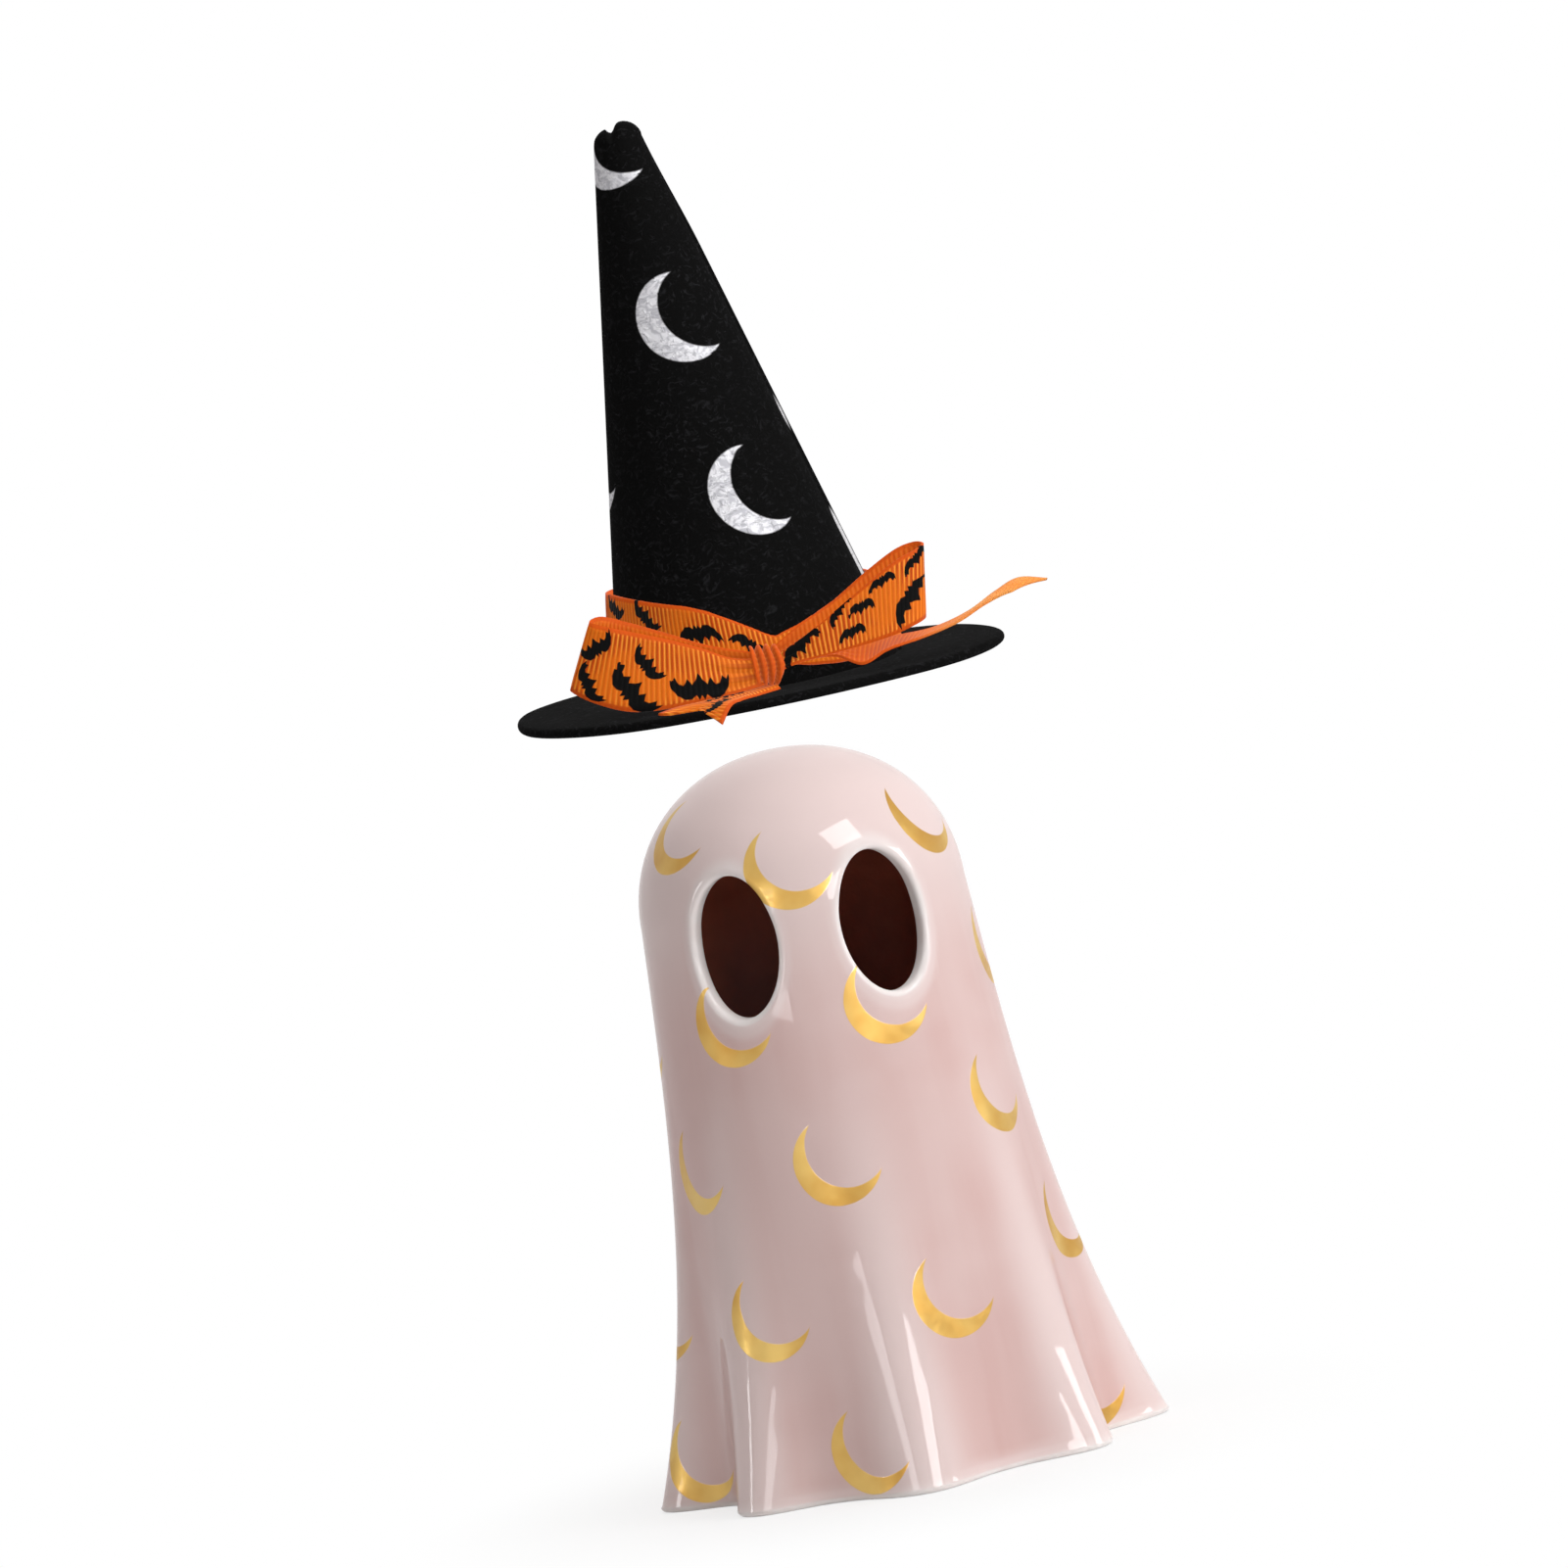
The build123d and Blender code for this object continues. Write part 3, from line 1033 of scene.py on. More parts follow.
    def skin(
        self, draft: MeshDraft, inset: float, finish: int
    ) -> tuple[np.ndarray, dict[Side, np.ndarray]]:
        """Draws one skin of the shell with its eye holes.

        Args:
            draft: The mesh to draw in.
            inset: How far the skin is drawn in: 0 for the outside.
            finish: Which finish it takes.

        Returns:
            The lowest row, and the last ring of each eye's rounded rim.
        """
        angles = full_turn(self.columns)
        heights = self.heights(inset)
        outside = inset == 0
        rows = []
        for z in heights:
            ring = self.points(angles, z, inset)
            rows.append(draft.row(ring, thin=self.thinness(ring)))
        low, high = (
            int(np.argmin(np.abs(self.heights(0.0) - z)))
            for z in (self.eye_z - self.eye_window[1], self.eye_z + self.eye_window[1])
        )
        step = 360 / self.columns
        windows = {}
        for side in Side:
            middle = side.value * self.eye_turn
            first = round((middle - self.eye_window[0]) / step)
            last = round((middle + self.eye_window[0]) / step)
            windows[side] = [column % self.columns for column in range(first, last + 1)]
        cut = {column for window in windows.values() for column in window[:-1]}
        for level in range(len(rows) - 1):
            for column in range(self.columns):
                if low <= level < high and column in cut:
                    continue
                after = (column + 1) % self.columns
                corners = (rows[level][column], rows[level][after],
                           rows[level + 1][after], rows[level + 1][column])
                draft.face(corners if outside else corners[::-1], finish)
        top = draft.row([(0, 0, self.shoulder_z + self.crown_height - inset)], thin=0.0)
        draft.fan(rows[-1] if outside else rows[-1][::-1], top[0], finish)
        rims = {}
        for side, window in windows.items():
            border = [rows[low][c] for c in window[:-1]]
            border += [rows[level][window[-1]] for level in range(low, high)]
            border += [rows[high][c] for c in window[:0:-1]]
            border += [rows[level][window[0]] for level in range(high, low, -1)]
            rims[side] = self.eye_patch(draft, side, np.array(border), inset, finish)
        return rows[0], rims

    def eye_patch(
        self, draft: MeshDraft, side: Side, border: np.ndarray, inset: float, finish: int
    ) -> np.ndarray:
        """Fills the skin round an eye hole and rolls its rim into the wall.

        Args:
            draft: The mesh to draw in.
            side: Which eye.
            border: Points of the skin round the patch.
            inset: How far the skin is drawn in.
            finish: Which finish it takes.

        Returns:
            The last ring, on the hole's wall.
        """
        points = np.concatenate(draft.points)[border]
        across = self.beside_eye(side, points)
        up = points[:, 2] - self.eye_z
        turn = np.arctan2(up / self.eye_half[1], across / self.eye_half[0])
        rim_across, rim_up = self.oval(turn, self.eye_round)
        inwards = -1 if inset == 0 else 1
        ring = border
        for step in range(1, self.patch_rings + 1):
            share = 1 - (1 - step / self.patch_rings) ** 1.3
            ring_across = across + (rim_across - across) * share
            ring_up = up + (rim_up - up) * share
            out = self.in_eye_plane(side, ring_across, ring_up, inset)
            filled = self.from_eye_plane(side, ring_across, ring_up, out)
            new = draft.row(filled, thin=self.thinness(filled))
            draft.stack([ring, new], finish=finish, inwards=inset > 0)
            ring = new
        for step in range(1, self.rim_rings + 1):
            lean = step / self.rim_rings * math.pi / 2
            ring_across, ring_up = self.oval(turn, self.eye_round * (1 - math.sin(lean)))
            sunk = self.eye_round * (1 - math.cos(lean)) * inwards
            out = self.in_eye_plane(side, ring_across, ring_up, inset) + sunk
            # The rim rings go up to full white: thin glaze and a painted highlight on the rounded
            # rim.
            pale = self.edge_pale + (1 - self.edge_pale) * step / self.rim_rings
            new = draft.row(self.from_eye_plane(side, ring_across, ring_up, out), thin=pale)
            draft.stack([ring, new], inwards=inset > 0)
            ring = new
        return ring

    def hem(self, draft: MeshDraft, outer: np.ndarray, inner: np.ndarray, steps: int = 4) -> None:
        """Rounds the outside of the foot and draws the flat ring it stands on.

        Args:
            draft: The mesh to draw in.
            outer: Lowest row of the outside.
            inner: Lowest row of the inside.
            steps: Rows in the rounded edge.
        """
        angles = full_turn(self.columns)
        ring = outer
        for step in range(1, steps + 1):
            lean = step / steps * math.pi / 2
            z = self.hem_round * (1 - math.sin(lean))
            drawn_in = self.hem_round * (1 - math.cos(lean))
            low = self.points(angles, 0.0, drawn_in)
            low[:, 2] = z
            new = draft.row(low, thin=1.0)
            draft.bridge(new, ring)
            ring = new
        draft.bridge(inner, ring, finish=1)

    def stamps(self) -> list[Stamp]:
        """Works out the middle and axes of every crescent on the drape.

        Returns:
            The crescents.
        """
        made = []
        for turn, z in self.moons:
            angle = math.radians(turn)
            middle = self.points(angle, z)
            beside = self.points(angle + 0.03, z) - self.points(angle - 0.03, z)
            above = self.points(angle, z + 0.8) - self.points(angle, z - 0.8)
            right = beside / np.linalg.norm(beside)
            up = above - right * (above @ right)
            up = up / np.linalg.norm(up)
            made.append(Stamp.tilted(middle, self.moon_tilt, self.moon_size, right, up))
        return made

    def build(self, glaze: bpy.types.Material, bisque: bpy.types.Material) -> bpy.types.Object:
        """Draws the whole shell and prints its crescents.

        Args:
            glaze: Finish of the outside.
            bisque: Finish of the inside.

        Returns:
            The piece.
        """
        draft = MeshDraft()
        outer_row, outer_rims = self.skin(draft, 0.0, 0)
        inner_row, inner_rims = self.skin(draft, self.wall, 1)
        for side in Side:
            draft.bridge(outer_rims[side], inner_rims[side])
        self.hem(draft, outer_row, inner_row)
        piece = draft.make("ghost_shell", [glaze, bisque])
        lay_stamps(piece, np.concatenate(draft.points), self.stamps(), "moon")
        set_in_frame(piece, Body.GHOST, Slot.GLAZE, "ghost_body")
        return piece


@dataclass
class FeltHat:
    """Rolled felt cone with a pinched tip on a flat felt brim."""

    brim_top: float = 148.6
    felt: float = 1.8
    cone_radius: float = 26.32
    cone_height: float = 105.0
    tip_radius: float = 3.8
    tip_round: float = 3.2
    tip_lean: float = 6.8
    tip_plug: float = 9.0
    notch_offset: float = 0.9
    notch_depth: float = 1.8
    notch_width: float = 1.0
    notch_reach: tuple[float, float] = (5.0, 0.5)
    left_drop: float = 0.9
    left_edge: tuple[float, float] = (0.8, -1.2)
    seam_turn: float = 86.6
    seam_columns: int = 7
    seam_reach: float = 1.2
    seam_clear: float = 1.5
    seam_lip: float = 0.6
    seam_edge: float = 0.8
    lip_fade: tuple[float, float] = (29.4, 9.4)
    lip_top: tuple[float, float] = (100.0, 80.0)
    raw_foot: tuple[float, float] = (10.0, 15.0)
    raw_fade: tuple[float, float] = (32.0, 24.0)
    raw_patch_z: float = 47.0
    raw_patch_reach: float = 5.0
    raw_patch: float = 0.7
    waviness: float = 0.12
    brim_radius: float = 45.5
    brim_ripple: float = 0.25
    brim_trim: float = 0.2
    columns: int = 160
    cone_rows: int = 70
    moon_size: float = 8.6
    moon_tilt: float = 23.0
    moons: tuple[tuple[float, float], ...] = (
        (-3.1, -21.3), (3.1, -55.3), (8.1, -88.9), (-18.2, -29.4), (-27.6, -76.4), (-27, -112),
        (-36.8, -37.4), (-60.9, -51.8), (-45, -62), (-52, -100), (-72, -86), (-89.7, -68.6),
    )

    @property
    def taper(self) -> float:
        """How much the cone's radius shrinks for each millimetre of height."""
        return (self.cone_radius - self.tip_radius) / self.cone_height

    def lean(self, z: float | np.ndarray) -> float | np.ndarray:
        """How far the cone's middle has leaned to the left at a height above the brim."""
        return -self.tip_lean * z / self.cone_height

    def turns(self) -> np.ndarray:
        """Angles of the cone's columns, closer together along the seam.

        Returns:
            The angles, in radians.
        """
        even = np.arange(self.columns) * 360 / self.columns
        even = even[np.abs(even - self.seam_turn) > self.seam_clear]
        close = self.seam_turn + np.linspace(-self.seam_reach, self.seam_reach, self.seam_columns)
        return np.radians(np.sort(np.concatenate([even, close])))

    def ring(self, radius: float | np.ndarray, z: float | np.ndarray) -> np.ndarray:
        """One level ring of the cone.

        Args:
            radius: Its radius, all round or for each column.
            z: Its height above the brim, all round or for each column.

        Returns:
            One point for each column, the seam at the viewer's right.
        """
        angles = self.turns()
        z = np.broadcast_to(z, angles.shape)
        x = radius * np.sin(angles) + self.lean(z)
        return np.stack([x, -radius * np.cos(angles), z + self.brim_top], axis=-1)

    def pinch(self, points: np.ndarray) -> np.ndarray:
        """Presses the notch between the two lumps of the tip.

        Args:
            points: Points of the cone.

        Returns:
            The same points, lower in and left of the notch near the top.
        """
        notch_x = self.lean(self.cone_height) - self.notch_offset
        height = points[:, 2] - self.brim_top
        from_top = self.cone_height - height
        near_top = smooth_step(from_top, *self.notch_reach)
        beside = points[:, 0] - notch_x
        groove = self.notch_depth * np.exp(-((beside / self.notch_width) ** 2))
        left_low = self.left_drop * smooth_step(beside, *self.left_edge)
        pressed = points.copy()
        pressed[:, 2] -= near_top * np.maximum(groove, left_low)
        return pressed

    def flat_pattern(self, points: np.ndarray) -> np.ndarray:
        """Where points of the cone lay on the felt before it was rolled.

        Args:
            points: Points of the cone.

        Returns:
            Places on the flat felt, its point at the origin and the front straight down.
        """
        z = points[:, 2] - self.brim_top
        across = points[:, 0] - self.lean(z)
        turn = np.arctan2(across, -points[:, 1])
        turn = np.where(turn > math.radians(self.seam_turn), turn - 2 * math.pi, turn)
        share = self.taper / math.hypot(1, self.taper)
        long = np.maximum(self.cone_radius - self.taper * z, 0.3) / share
        return np.stack(
            [long * np.sin(turn * share), -long * np.cos(turn * share), np.zeros(len(z))], axis=-1
        )

    def cone(self, felt: bpy.types.Material) -> bpy.types.Object:
        """Draws the cone, hollow up to the plug in its tip.

        Args:
            felt: Its finish.

        Returns:
            The piece.
        """
        draft = MeshDraft()
        angles = np.degrees(self.turns())
        past = angles - self.seam_turn
        lip = self.seam_lip * smooth_step(past, -1.0, 1.0) * smooth_step(past, *self.lip_fade)
        edge = np.exp(-((past / self.seam_edge) ** 2))
        wave = self.waviness * np.sin(np.radians(3 * angles + 40))
        outer = []
        shoulder = self.cone_height - self.tip_round
        for z in np.linspace(0, shoulder, self.cone_rows):
            raised = lip * smooth_step(z, *self.lip_top)
            radius = self.cone_radius - self.taper * z + wave + raised
            from_patch = (z - self.raw_patch_z) / self.raw_patch_reach
            patch = self.raw_patch * math.exp(-(from_patch**2))
            frayed = max(smooth_step(z, *self.raw_fade), patch)
            raw = edge * frayed * smooth_step(z, *self.raw_foot)
            outer.append(draft.row(self.pinch(self.ring(radius, z)), raw=raw))
        flat = max(self.tip_radius + self.taper * self.tip_round - self.tip_round, 0.4)
        for lean in np.linspace(0, math.pi / 2, 9)[1:]:
            radius = flat + self.tip_round * math.cos(lean)
            z = shoulder + self.tip_round * math.sin(lean)
            outer.append(draft.row(self.pinch(self.ring(radius, z)), raw=0.0))
        for share in (0.6, 0.25):
            level = self.ring(flat * share, self.cone_height)
            outer.append(draft.row(self.pinch(level), raw=0.0))
        draft.stack(outer)
        tip = draft.row(self.pinch(self.ring(0.0, self.cone_height)[:1]), raw=0.0)
        draft.fan(outer[-1], tip[0])
        inside = []
        for z in np.linspace(0, self.cone_height - self.tip_plug, 24):
            radius = self.cone_radius - self.taper * z - self.felt
            inside.append(draft.row(self.ring(radius, z), raw=0.0))
        draft.stack(inside, inwards=True)
        plug = draft.row(self.ring(0.0, self.cone_height - self.tip_plug)[:1], raw=0.0)
        draft.fan(inside[-1][::-1], plug[0])
        draft.bridge(inside[0], outer[0])
        piece = draft.make("felt_cone", [felt])
        stamps = [Stamp.tilted((x, y, 0), self.moon_tilt, self.moon_size) for x, y in self.moons]
        lay_stamps(piece, self.flat_pattern(np.concatenate(draft.points)), stamps, "moon")
        set_in_frame(piece, Body.HAT, Slot.FELT, "hat_cone")
        return piece

    def brim(self, felt: bpy.types.Material) -> bpy.types.Object:
        """Draws the brim, its rim softened and very slightly waved.

        Args:
            felt: Its finish.

        Returns:
            The piece.
        """
        draft = MeshDraft()
        angles = full_turn(self.columns)
        inner = self.cone_radius - self.felt
        half = self.felt / 2
        profile = [(radius, 0.0) for radius in np.linspace(inner, self.brim_radius - half, 9)]
        for lean in np.linspace(0, math.pi, 9)[1:-1]:
            out = self.brim_radius - half + half * math.sin(lean)
            profile.append((out, -half + half * math.cos(lean)))
        profile += [(r, -self.felt) for r in np.linspace(self.brim_radius - half, inner, 9)]
        rows = []
        for radius, z in profile:
            out = max(0.0, (radius - self.cone_radius) / (self.brim_radius - self.cone_radius))
            ripple = self.brim_ripple * out**2 * np.sin(3 * angles + 0.7)
            trim = self.brim_trim * out**8 * np.sin(9 * angles)
            x, y = (radius + trim) * np.sin(angles), -(radius + trim) * np.cos(angles)
            rows.append(draft.row(np.stack([x, y, z + ripple + self.brim_top], axis=-1), raw=0.0))
        draft.stack(rows + rows[:1], inwards=True)
        piece = draft.make("felt_brim", [felt])
        far = Stamp.tilted((0, 0, 1e4), 0.0, 1.0)
        lay_stamps(piece, np.concatenate(draft.points), [far], "moon")
        set_in_frame(piece, Body.HAT, Slot.FELT, "hat_brim")
        return piece


def along(stations: np.ndarray, shares: np.ndarray) -> np.ndarray:
    """Reads a smooth line through given stations.

    Args:
        stations: Rows of numbers that the line passes through.
        shares: Where along it to read, from 0 to 1.

    Returns:
        The line's numbers at each share.
    """
    steps = len(stations) - 1
    place = np.clip(shares, 0, 1) * steps
    start = np.minimum(place.astype(int), steps - 1)
    t = (place - start)[:, None]
    before, after = 2 * stations[:1] - stations[1:2], 2 * stations[-1:] - stations[-2:-1]
    padded = np.concatenate([before, stations, after])
    a, b, c, d = (padded[start + shift] for shift in range(4))
    return 0.5 * (2 * b + (c - a) * t + (2 * a - 5 * b + 4 * c - d) * t**2
                  + (3 * b - a - 3 * c + d) * t**3)


@dataclass
class RibbonRun:
    """One run of ribbon: stations, each a point on either edge, and how its end is cut."""

    name: str
    node: str
    stations: tuple[tuple[Triple, Triple], ...]
    held: str
    rests_on: tuple[str, ...]
    face: RibbonFace = RibbonFace.PRINTED
    gathers: tuple[float, float] = (0.0, 0.0)
    pleats: float = 1.3
    across: int = 10
    end: EndCut = EndCut.SQUARE
    cut: float = 0.0
    bats: tuple[tuple[float, float, float, float], ...] = ()


@dataclass
class RibbonBow:
    """Printed grosgrain ribbon: the band round the cone and the bow tied in front of it."""

    width: float = 12.7
    thickness: float = 0.45
    rib_height: float = 0.07
    steps_per_rib: int = 4
    crease_reach: float = 9.0
    crease_depth: float = 0.55
    samples: int = 801
    hat: FeltHat = field(default_factory=FeltHat)
    band_gap: float = 0.6
    band_stand: float = 0.7
    band_left_top: float = 20.3
    band_right_top: float = 15.0
    band_front: tuple[Triple, ...] = (
        (-25, 6.6, 20.4), (-17, 5.4, 18.5), (-11, 4.9, 17.2), (-7, 4.6, 15.8), (-2.3, 4.4, 13.4),
        (2.2, 4.3, 10.7), (4.7, 4.0, 9.0), (10, 2.6, 10.2), (15, 1.8, 11.8), (20, 1.5, 13.4),
        (25, 1.4, 15.0),
    )

    def runs(self) -> list[RibbonRun]:
        """The runs of ribbon in the bow, placed from the hat's axis and the top of its brim.

        Returns:
            The loops, the tails and the knot.
        """
        left = RibbonRun(
            "bow_left_loop_ribbon", "bow_left_loop",
            (
                ((0.6, -31.2, 1.4), (0.6, -31.0, 6.0)), ((-4.5, -32.6, 1.0), (-4.5, -31.6, 7.4)),
                ((-10, -33.6, 0.9), (-9.5, -31.6, 10.2)), ((-17, -33.8, 0.6), (-15, -31.2, 12.8)),
                ((-24, -33.2, 1.3), (-20.5, -30.6, 15.0)), ((-30, -31.8, 3.8), (-25, -29.8, 16.8)),
                ((-34.0, -28.8, 6.6), (-28.2, -27.6, 18.2)),
                ((-31.5, -25.8, 6.6), (-26, -25.2, 18.6)),
                ((-23.5, -25.6, 4.6), (-21.5, -24.8, 16.6)),
                ((-15, -27.0, 3.2), (-14.5, -26.0, 13.2)), ((-8, -28.2, 2.6), (-8, -27.4, 10.0)),
                ((0.6, -28.9, 2.4), (0.6, -28.6, 7.0)),
            ),
            "folded", ("hat_brim",), gathers=(1.0, 1.0),
            bats=((20.9, 0.62, 3.9, 228), (23.5, 0.27, 5.6, 226), (11.6, 0.26, 5.7, 176),
                  (31.2, 0.71, 4.2, 137), (31.1, 0.22, 3.9, 231), (44, 0.6, 4.6, 30),
                  (54, 0.4, 4.6, 160)),
        )
        right = RibbonRun(
            "bow_right_loop_ribbon", "bow_right_loop",
            (
                ((3.2, -28.8, 3.2), (3.2, -28.6, 7.4)), ((9, -28.2, 4.0), (9, -27.6, 10.6)),
                ((16, -27.0, 4.6), (15.5, -26.2, 13.4)), ((23, -25.8, 5.4), (22.5, -25.0, 17.4)),
                ((28.5, -25.2, 6.8), (28.5, -24.6, 20.4)),
                ((31.2, -25.6, 7.6), (32.2, -25.0, 21.2)),
                ((31.6, -27.6, 7.4), (33.8, -27.0, 20.8)),
                ((29.8, -30.2, 6.8), (32.4, -29.4, 20.2)),
                ((25.5, -31.8, 5.8), (27.5, -30.8, 18.6)),
                ((19.5, -32.6, 5.1), (20.5, -31.6, 14.8)), ((13, -32.8, 4.6), (13, -32.0, 10.6)),
                ((7.5, -32.2, 4.2), (7.5, -31.8, 7.8)), ((3.2, -31.2, 3.2), (3.2, -31.0, 6.2)),
            ),
            "folded", ("hat_brim",), gathers=(1.0, 1.0),
            bats=((-22.8, 0.84, 2.9, -4), (-18.4, 0.67, 3.0, 5), (-16.2, 0.31, 3.0, 5),
                  (-14.1, 0.9, 2.8, -41), (-29.2, 0.42, 5.6, -43), (-29.9, 0.87, 3.2, -29),
                  (-6.0, 0.7, 4.4, -24), (18, 0.5, 4.6, 170), (27, 0.35, 4.6, 20)),
        )
        left_tail = RibbonRun(
            "bow_left_tail_ribbon", "bow_left_tail",
            (
                ((3.4, -31.6, 0.5), (0.2, -29.4, 0.5)), ((-0.6, -36.0, 0.4), (-6.2, -30.8, 0.4)),
                ((-3.8, -41.2, 0.5), (-12.2, -32.4, 0.5)),
                ((-6.0, -45.7, 0.2), (-16.0, -35.6, 0.6)),
                ((-8.2, -48.2, -2.6), (-19.2, -39.4, 0.5)),
            ),
            "laid", ("hat_brim",), gathers=(1.0, 0.0), pleats=2.0, across=16,
            end=EndCut.SWALLOW, cut=3.0,
            bats=((9, 0.7, 4.4, 10), (15, 0.3, 4.4, 170)),
        )
        right_tail = RibbonRun(
            "bow_right_tail_ribbon", "bow_right_tail",
            (
                ((3.2, -28.6, 4.2), (3.2, -31.0, 3.8)), ((9, -28.4, 4.8), (9, -31.0, 4.4)),
                ((15, -28.2, 4.9), (14.5, -31.6, 4.0)), ((20, -26.0, 4.6), (19, -33.4, 1.9)),
                ((25.5, -21.8, 4.5), (24, -32.8, 3.5)), ((33, -18.4, 4.4), (31, -31.0, 4.4)),
                ((39.8, -15.4, 5.8), (37.4, -28.4, 5.6)), ((45.4, -12.8, 8.2), (42.8, -26.0, 7.6)),
                ((50, -10.8, 9.6), (47.6, -23.8, 8.7)), ((55.2, -8.8, 8.3), (53.0, -21.8, 8.6)),
            ),
            "laid", ("hat_brim",), face=RibbonFace.FADED, gathers=(1.0, 0.0), pleats=2.0,
            across=16, end=EndCut.SLANT, cut=5.0,
        )
        knot = RibbonRun(
            "bow_knot_ribbon", "bow_knot",
            (
                ((4.4, -27.7, 6.2), (-0.6, -27.7, 6.8)), ((4.2, -29.4, 7.4), (-0.8, -29.4, 8.0)),
                ((4.6, -31.5, 6.6), (-0.7, -31.5, 7.4)), ((4.9, -32.3, 4.8), (-0.6, -32.3, 5.0)),
                ((4.4, -31.8, 2.8), (-0.5, -31.8, 2.6)), ((3.4, -29.6, 1.3), (-0.2, -29.6, 1.5)),
                ((3.4, -27.8, 2.2), (-0.2, -27.8, 2.4)),
            ),
            "folded", ("hat_brim",), face=RibbonFace.PLAIN, gathers=(1.0, 1.0), pleats=1.75,
            across=32,
        )
        return [left, right, left_tail, right_tail, knot]

    def band_edges(self, turn: float) -> tuple[float, float]:
        """Heights of the band's lower and upper edge above the brim.

        Args:
            turn: Angle from the face, towards the viewer's right.

        Returns:
            The two heights.
        """
        side = self.hat.cone_radius * math.sin(turn)
        if math.cos(turn) > 0:
            places, low, top = np.array(self.band_front).T
            return float(np.interp(side, places, low)), float(np.interp(side, places, top))
        middle = (self.band_left_top + self.band_right_top) / 2
        top = middle + (self.band_right_top - self.band_left_top) / 2 * math.sin(turn)
        return top - self.width, top

    def band_run(self) -> RibbonRun:
        """The run round the foot of the cone, its ends at the back and drawn down in front.

        Returns:
            The run.
        """
        stations = []
        for turn in np.linspace(math.pi, -math.pi, 97):
            stand = self.band_gap + self.band_stand * abs(math.sin(turn)) ** 3
            edges = []
            for z in self.band_edges(turn):
                radius = self.hat.cone_radius - self.hat.taper * z + stand
                side = radius * math.sin(turn) + self.hat.lean(z)
                edges.append((side, -radius * math.cos(turn), z))
            stations.append(tuple(edges))
        bats = [(101.4, 0.8, 4.0, 221), (90, 0.58, 4.6, -10)]
        bats += [(80.5, 0.47, 4.0, 30), (111.8, 0.85, 4.2, 200)]
        bats += [(9.0 * step, 0.28 + 0.45 * (step % 2), 4.6, (15, 165, 340, 200)[step % 4])
                 for step in (0, 1, 2, 3, 4, 5, 6, 7, 14, 15, 16, 17)]
        return RibbonRun(
            "ribbon_band_cloth", "ribbon_band", tuple(stations), "stretched", ("hat_cone",),
            bats=tuple(bats),
        )

    def draw(self, run: RibbonRun, materials: Sequence[bpy.types.Material]) -> bpy.types.Object:
        """Draws one run with its ribs, gathers, cut end and prints.

        Args:
            run: The run.
            materials: Finishes of the ribbon's outer and inner face.

        Returns:
            The piece.
        """
        edges = np.array(run.stations, float)
        stations = np.concatenate([edges.mean(axis=1), (edges[:, 1] - edges[:, 0]) / 2], axis=1)
        shares = np.linspace(0, 1, self.samples)
        middles = along(stations, shares)[:, :3]
        strides = np.linalg.norm(np.diff(middles, axis=0), axis=1)
        lengths = np.concatenate([[0], np.cumsum(strides)])
        length = lengths[-1]
        ribs = max(3, round(length / RIB_PITCH))
        count = ribs * self.steps_per_rib + 1
        distance = np.linspace(0, length, count)
        over = np.linspace(-1, 1, run.across + 1)
        draft = MeshDraft()
        rows = []
        reach = np.stack([self.cut_back(run, distance, q) for q in over], axis=1)
        for step in range(count):
            share = np.interp(reach[step], lengths, shares)
            here = along(stations, share)
            ahead = along(stations, share + 0.002) - along(stations, share - 0.002)
            tangent = ahead[:, :3] / np.linalg.norm(ahead[:, :3], axis=1)[:, None]
            half = here[:, 3:]
            normal = np.cross(tangent, half)
            normal /= np.linalg.norm(normal, axis=1)[:, None]
            points = here[:, :3] + half * over[:, None]
            rib = self.rib_height * math.cos(2 * math.pi * ribs * distance[step] / length)
            drawn = self.drawn_in(run, distance[step], length)
            held, crease = min(drawn, 1.0), self.crease(run, over)
            relief = rib * (1 - over**8) * (1 - 0.75 * held) + drawn * crease
            points = points + normal * relief[:, None]
            points[:, 2] += self.hat.brim_top
            beside = over * np.linalg.norm(half, axis=1)
            flat = np.stack([reach[step] * ribs * RIB_PITCH / length, beside, over], axis=-1)
            # Mask for the painted crease shade: deepest in the hollows between gathers where the
            # ribbon is drawn in.
            fold = held * (self.crease_depth - crease) / (2 * self.crease_depth)
            rows.append(draft.row(points, cloth=flat, fold=fold))
        draft.stack(rows, closed=False)
        piece = draft.make(run.name, materials)
        stamps = []
        for place, height, size, tilt in run.bats or ((2 * length, 0.0, 1.0, 0.0),):
            start = place if place >= 0 else length + place
            half = along(stations, np.interp([start], lengths, shares))[0, 3:]
            middle = np.array([start, (2 * height - 1) * np.linalg.norm(half), 0])
            stamps.append(Stamp.tilted(middle, tilt, size))
        laid_flat = np.concatenate(draft.values["cloth"]) * (1, 1, 0)
        lay_stamps(piece, laid_flat, stamps, "bat")
        self.thicken(piece)
        set_in_frame(piece, Body.HAT, Slot.RIBBON, run.node)
        return piece

    @staticmethod
    def cut_back(run: RibbonRun, distance: np.ndarray, over: float) -> np.ndarray:
        """Draws the last rows back where the end is cut on a slant or to a notch.

        Args:
            run: The run.
            distance: Places along it.
            over: Place across it, from -1 to 1.

        Returns:
            Places along the run with the cut made.
        """
        shares = {EndCut.SQUARE: 0.0, EndCut.SLANT: (1 + over) / 2, EndCut.SWALLOW: 1 - abs(over)}
        length = distance[-1]
        start = length - 2 * max(run.cut, 0.1)
        end = length - run.cut * shares[run.end]
        cut = start + (distance - start) * (end - start) / (length - start)
        return np.where(distance > start, cut, distance)

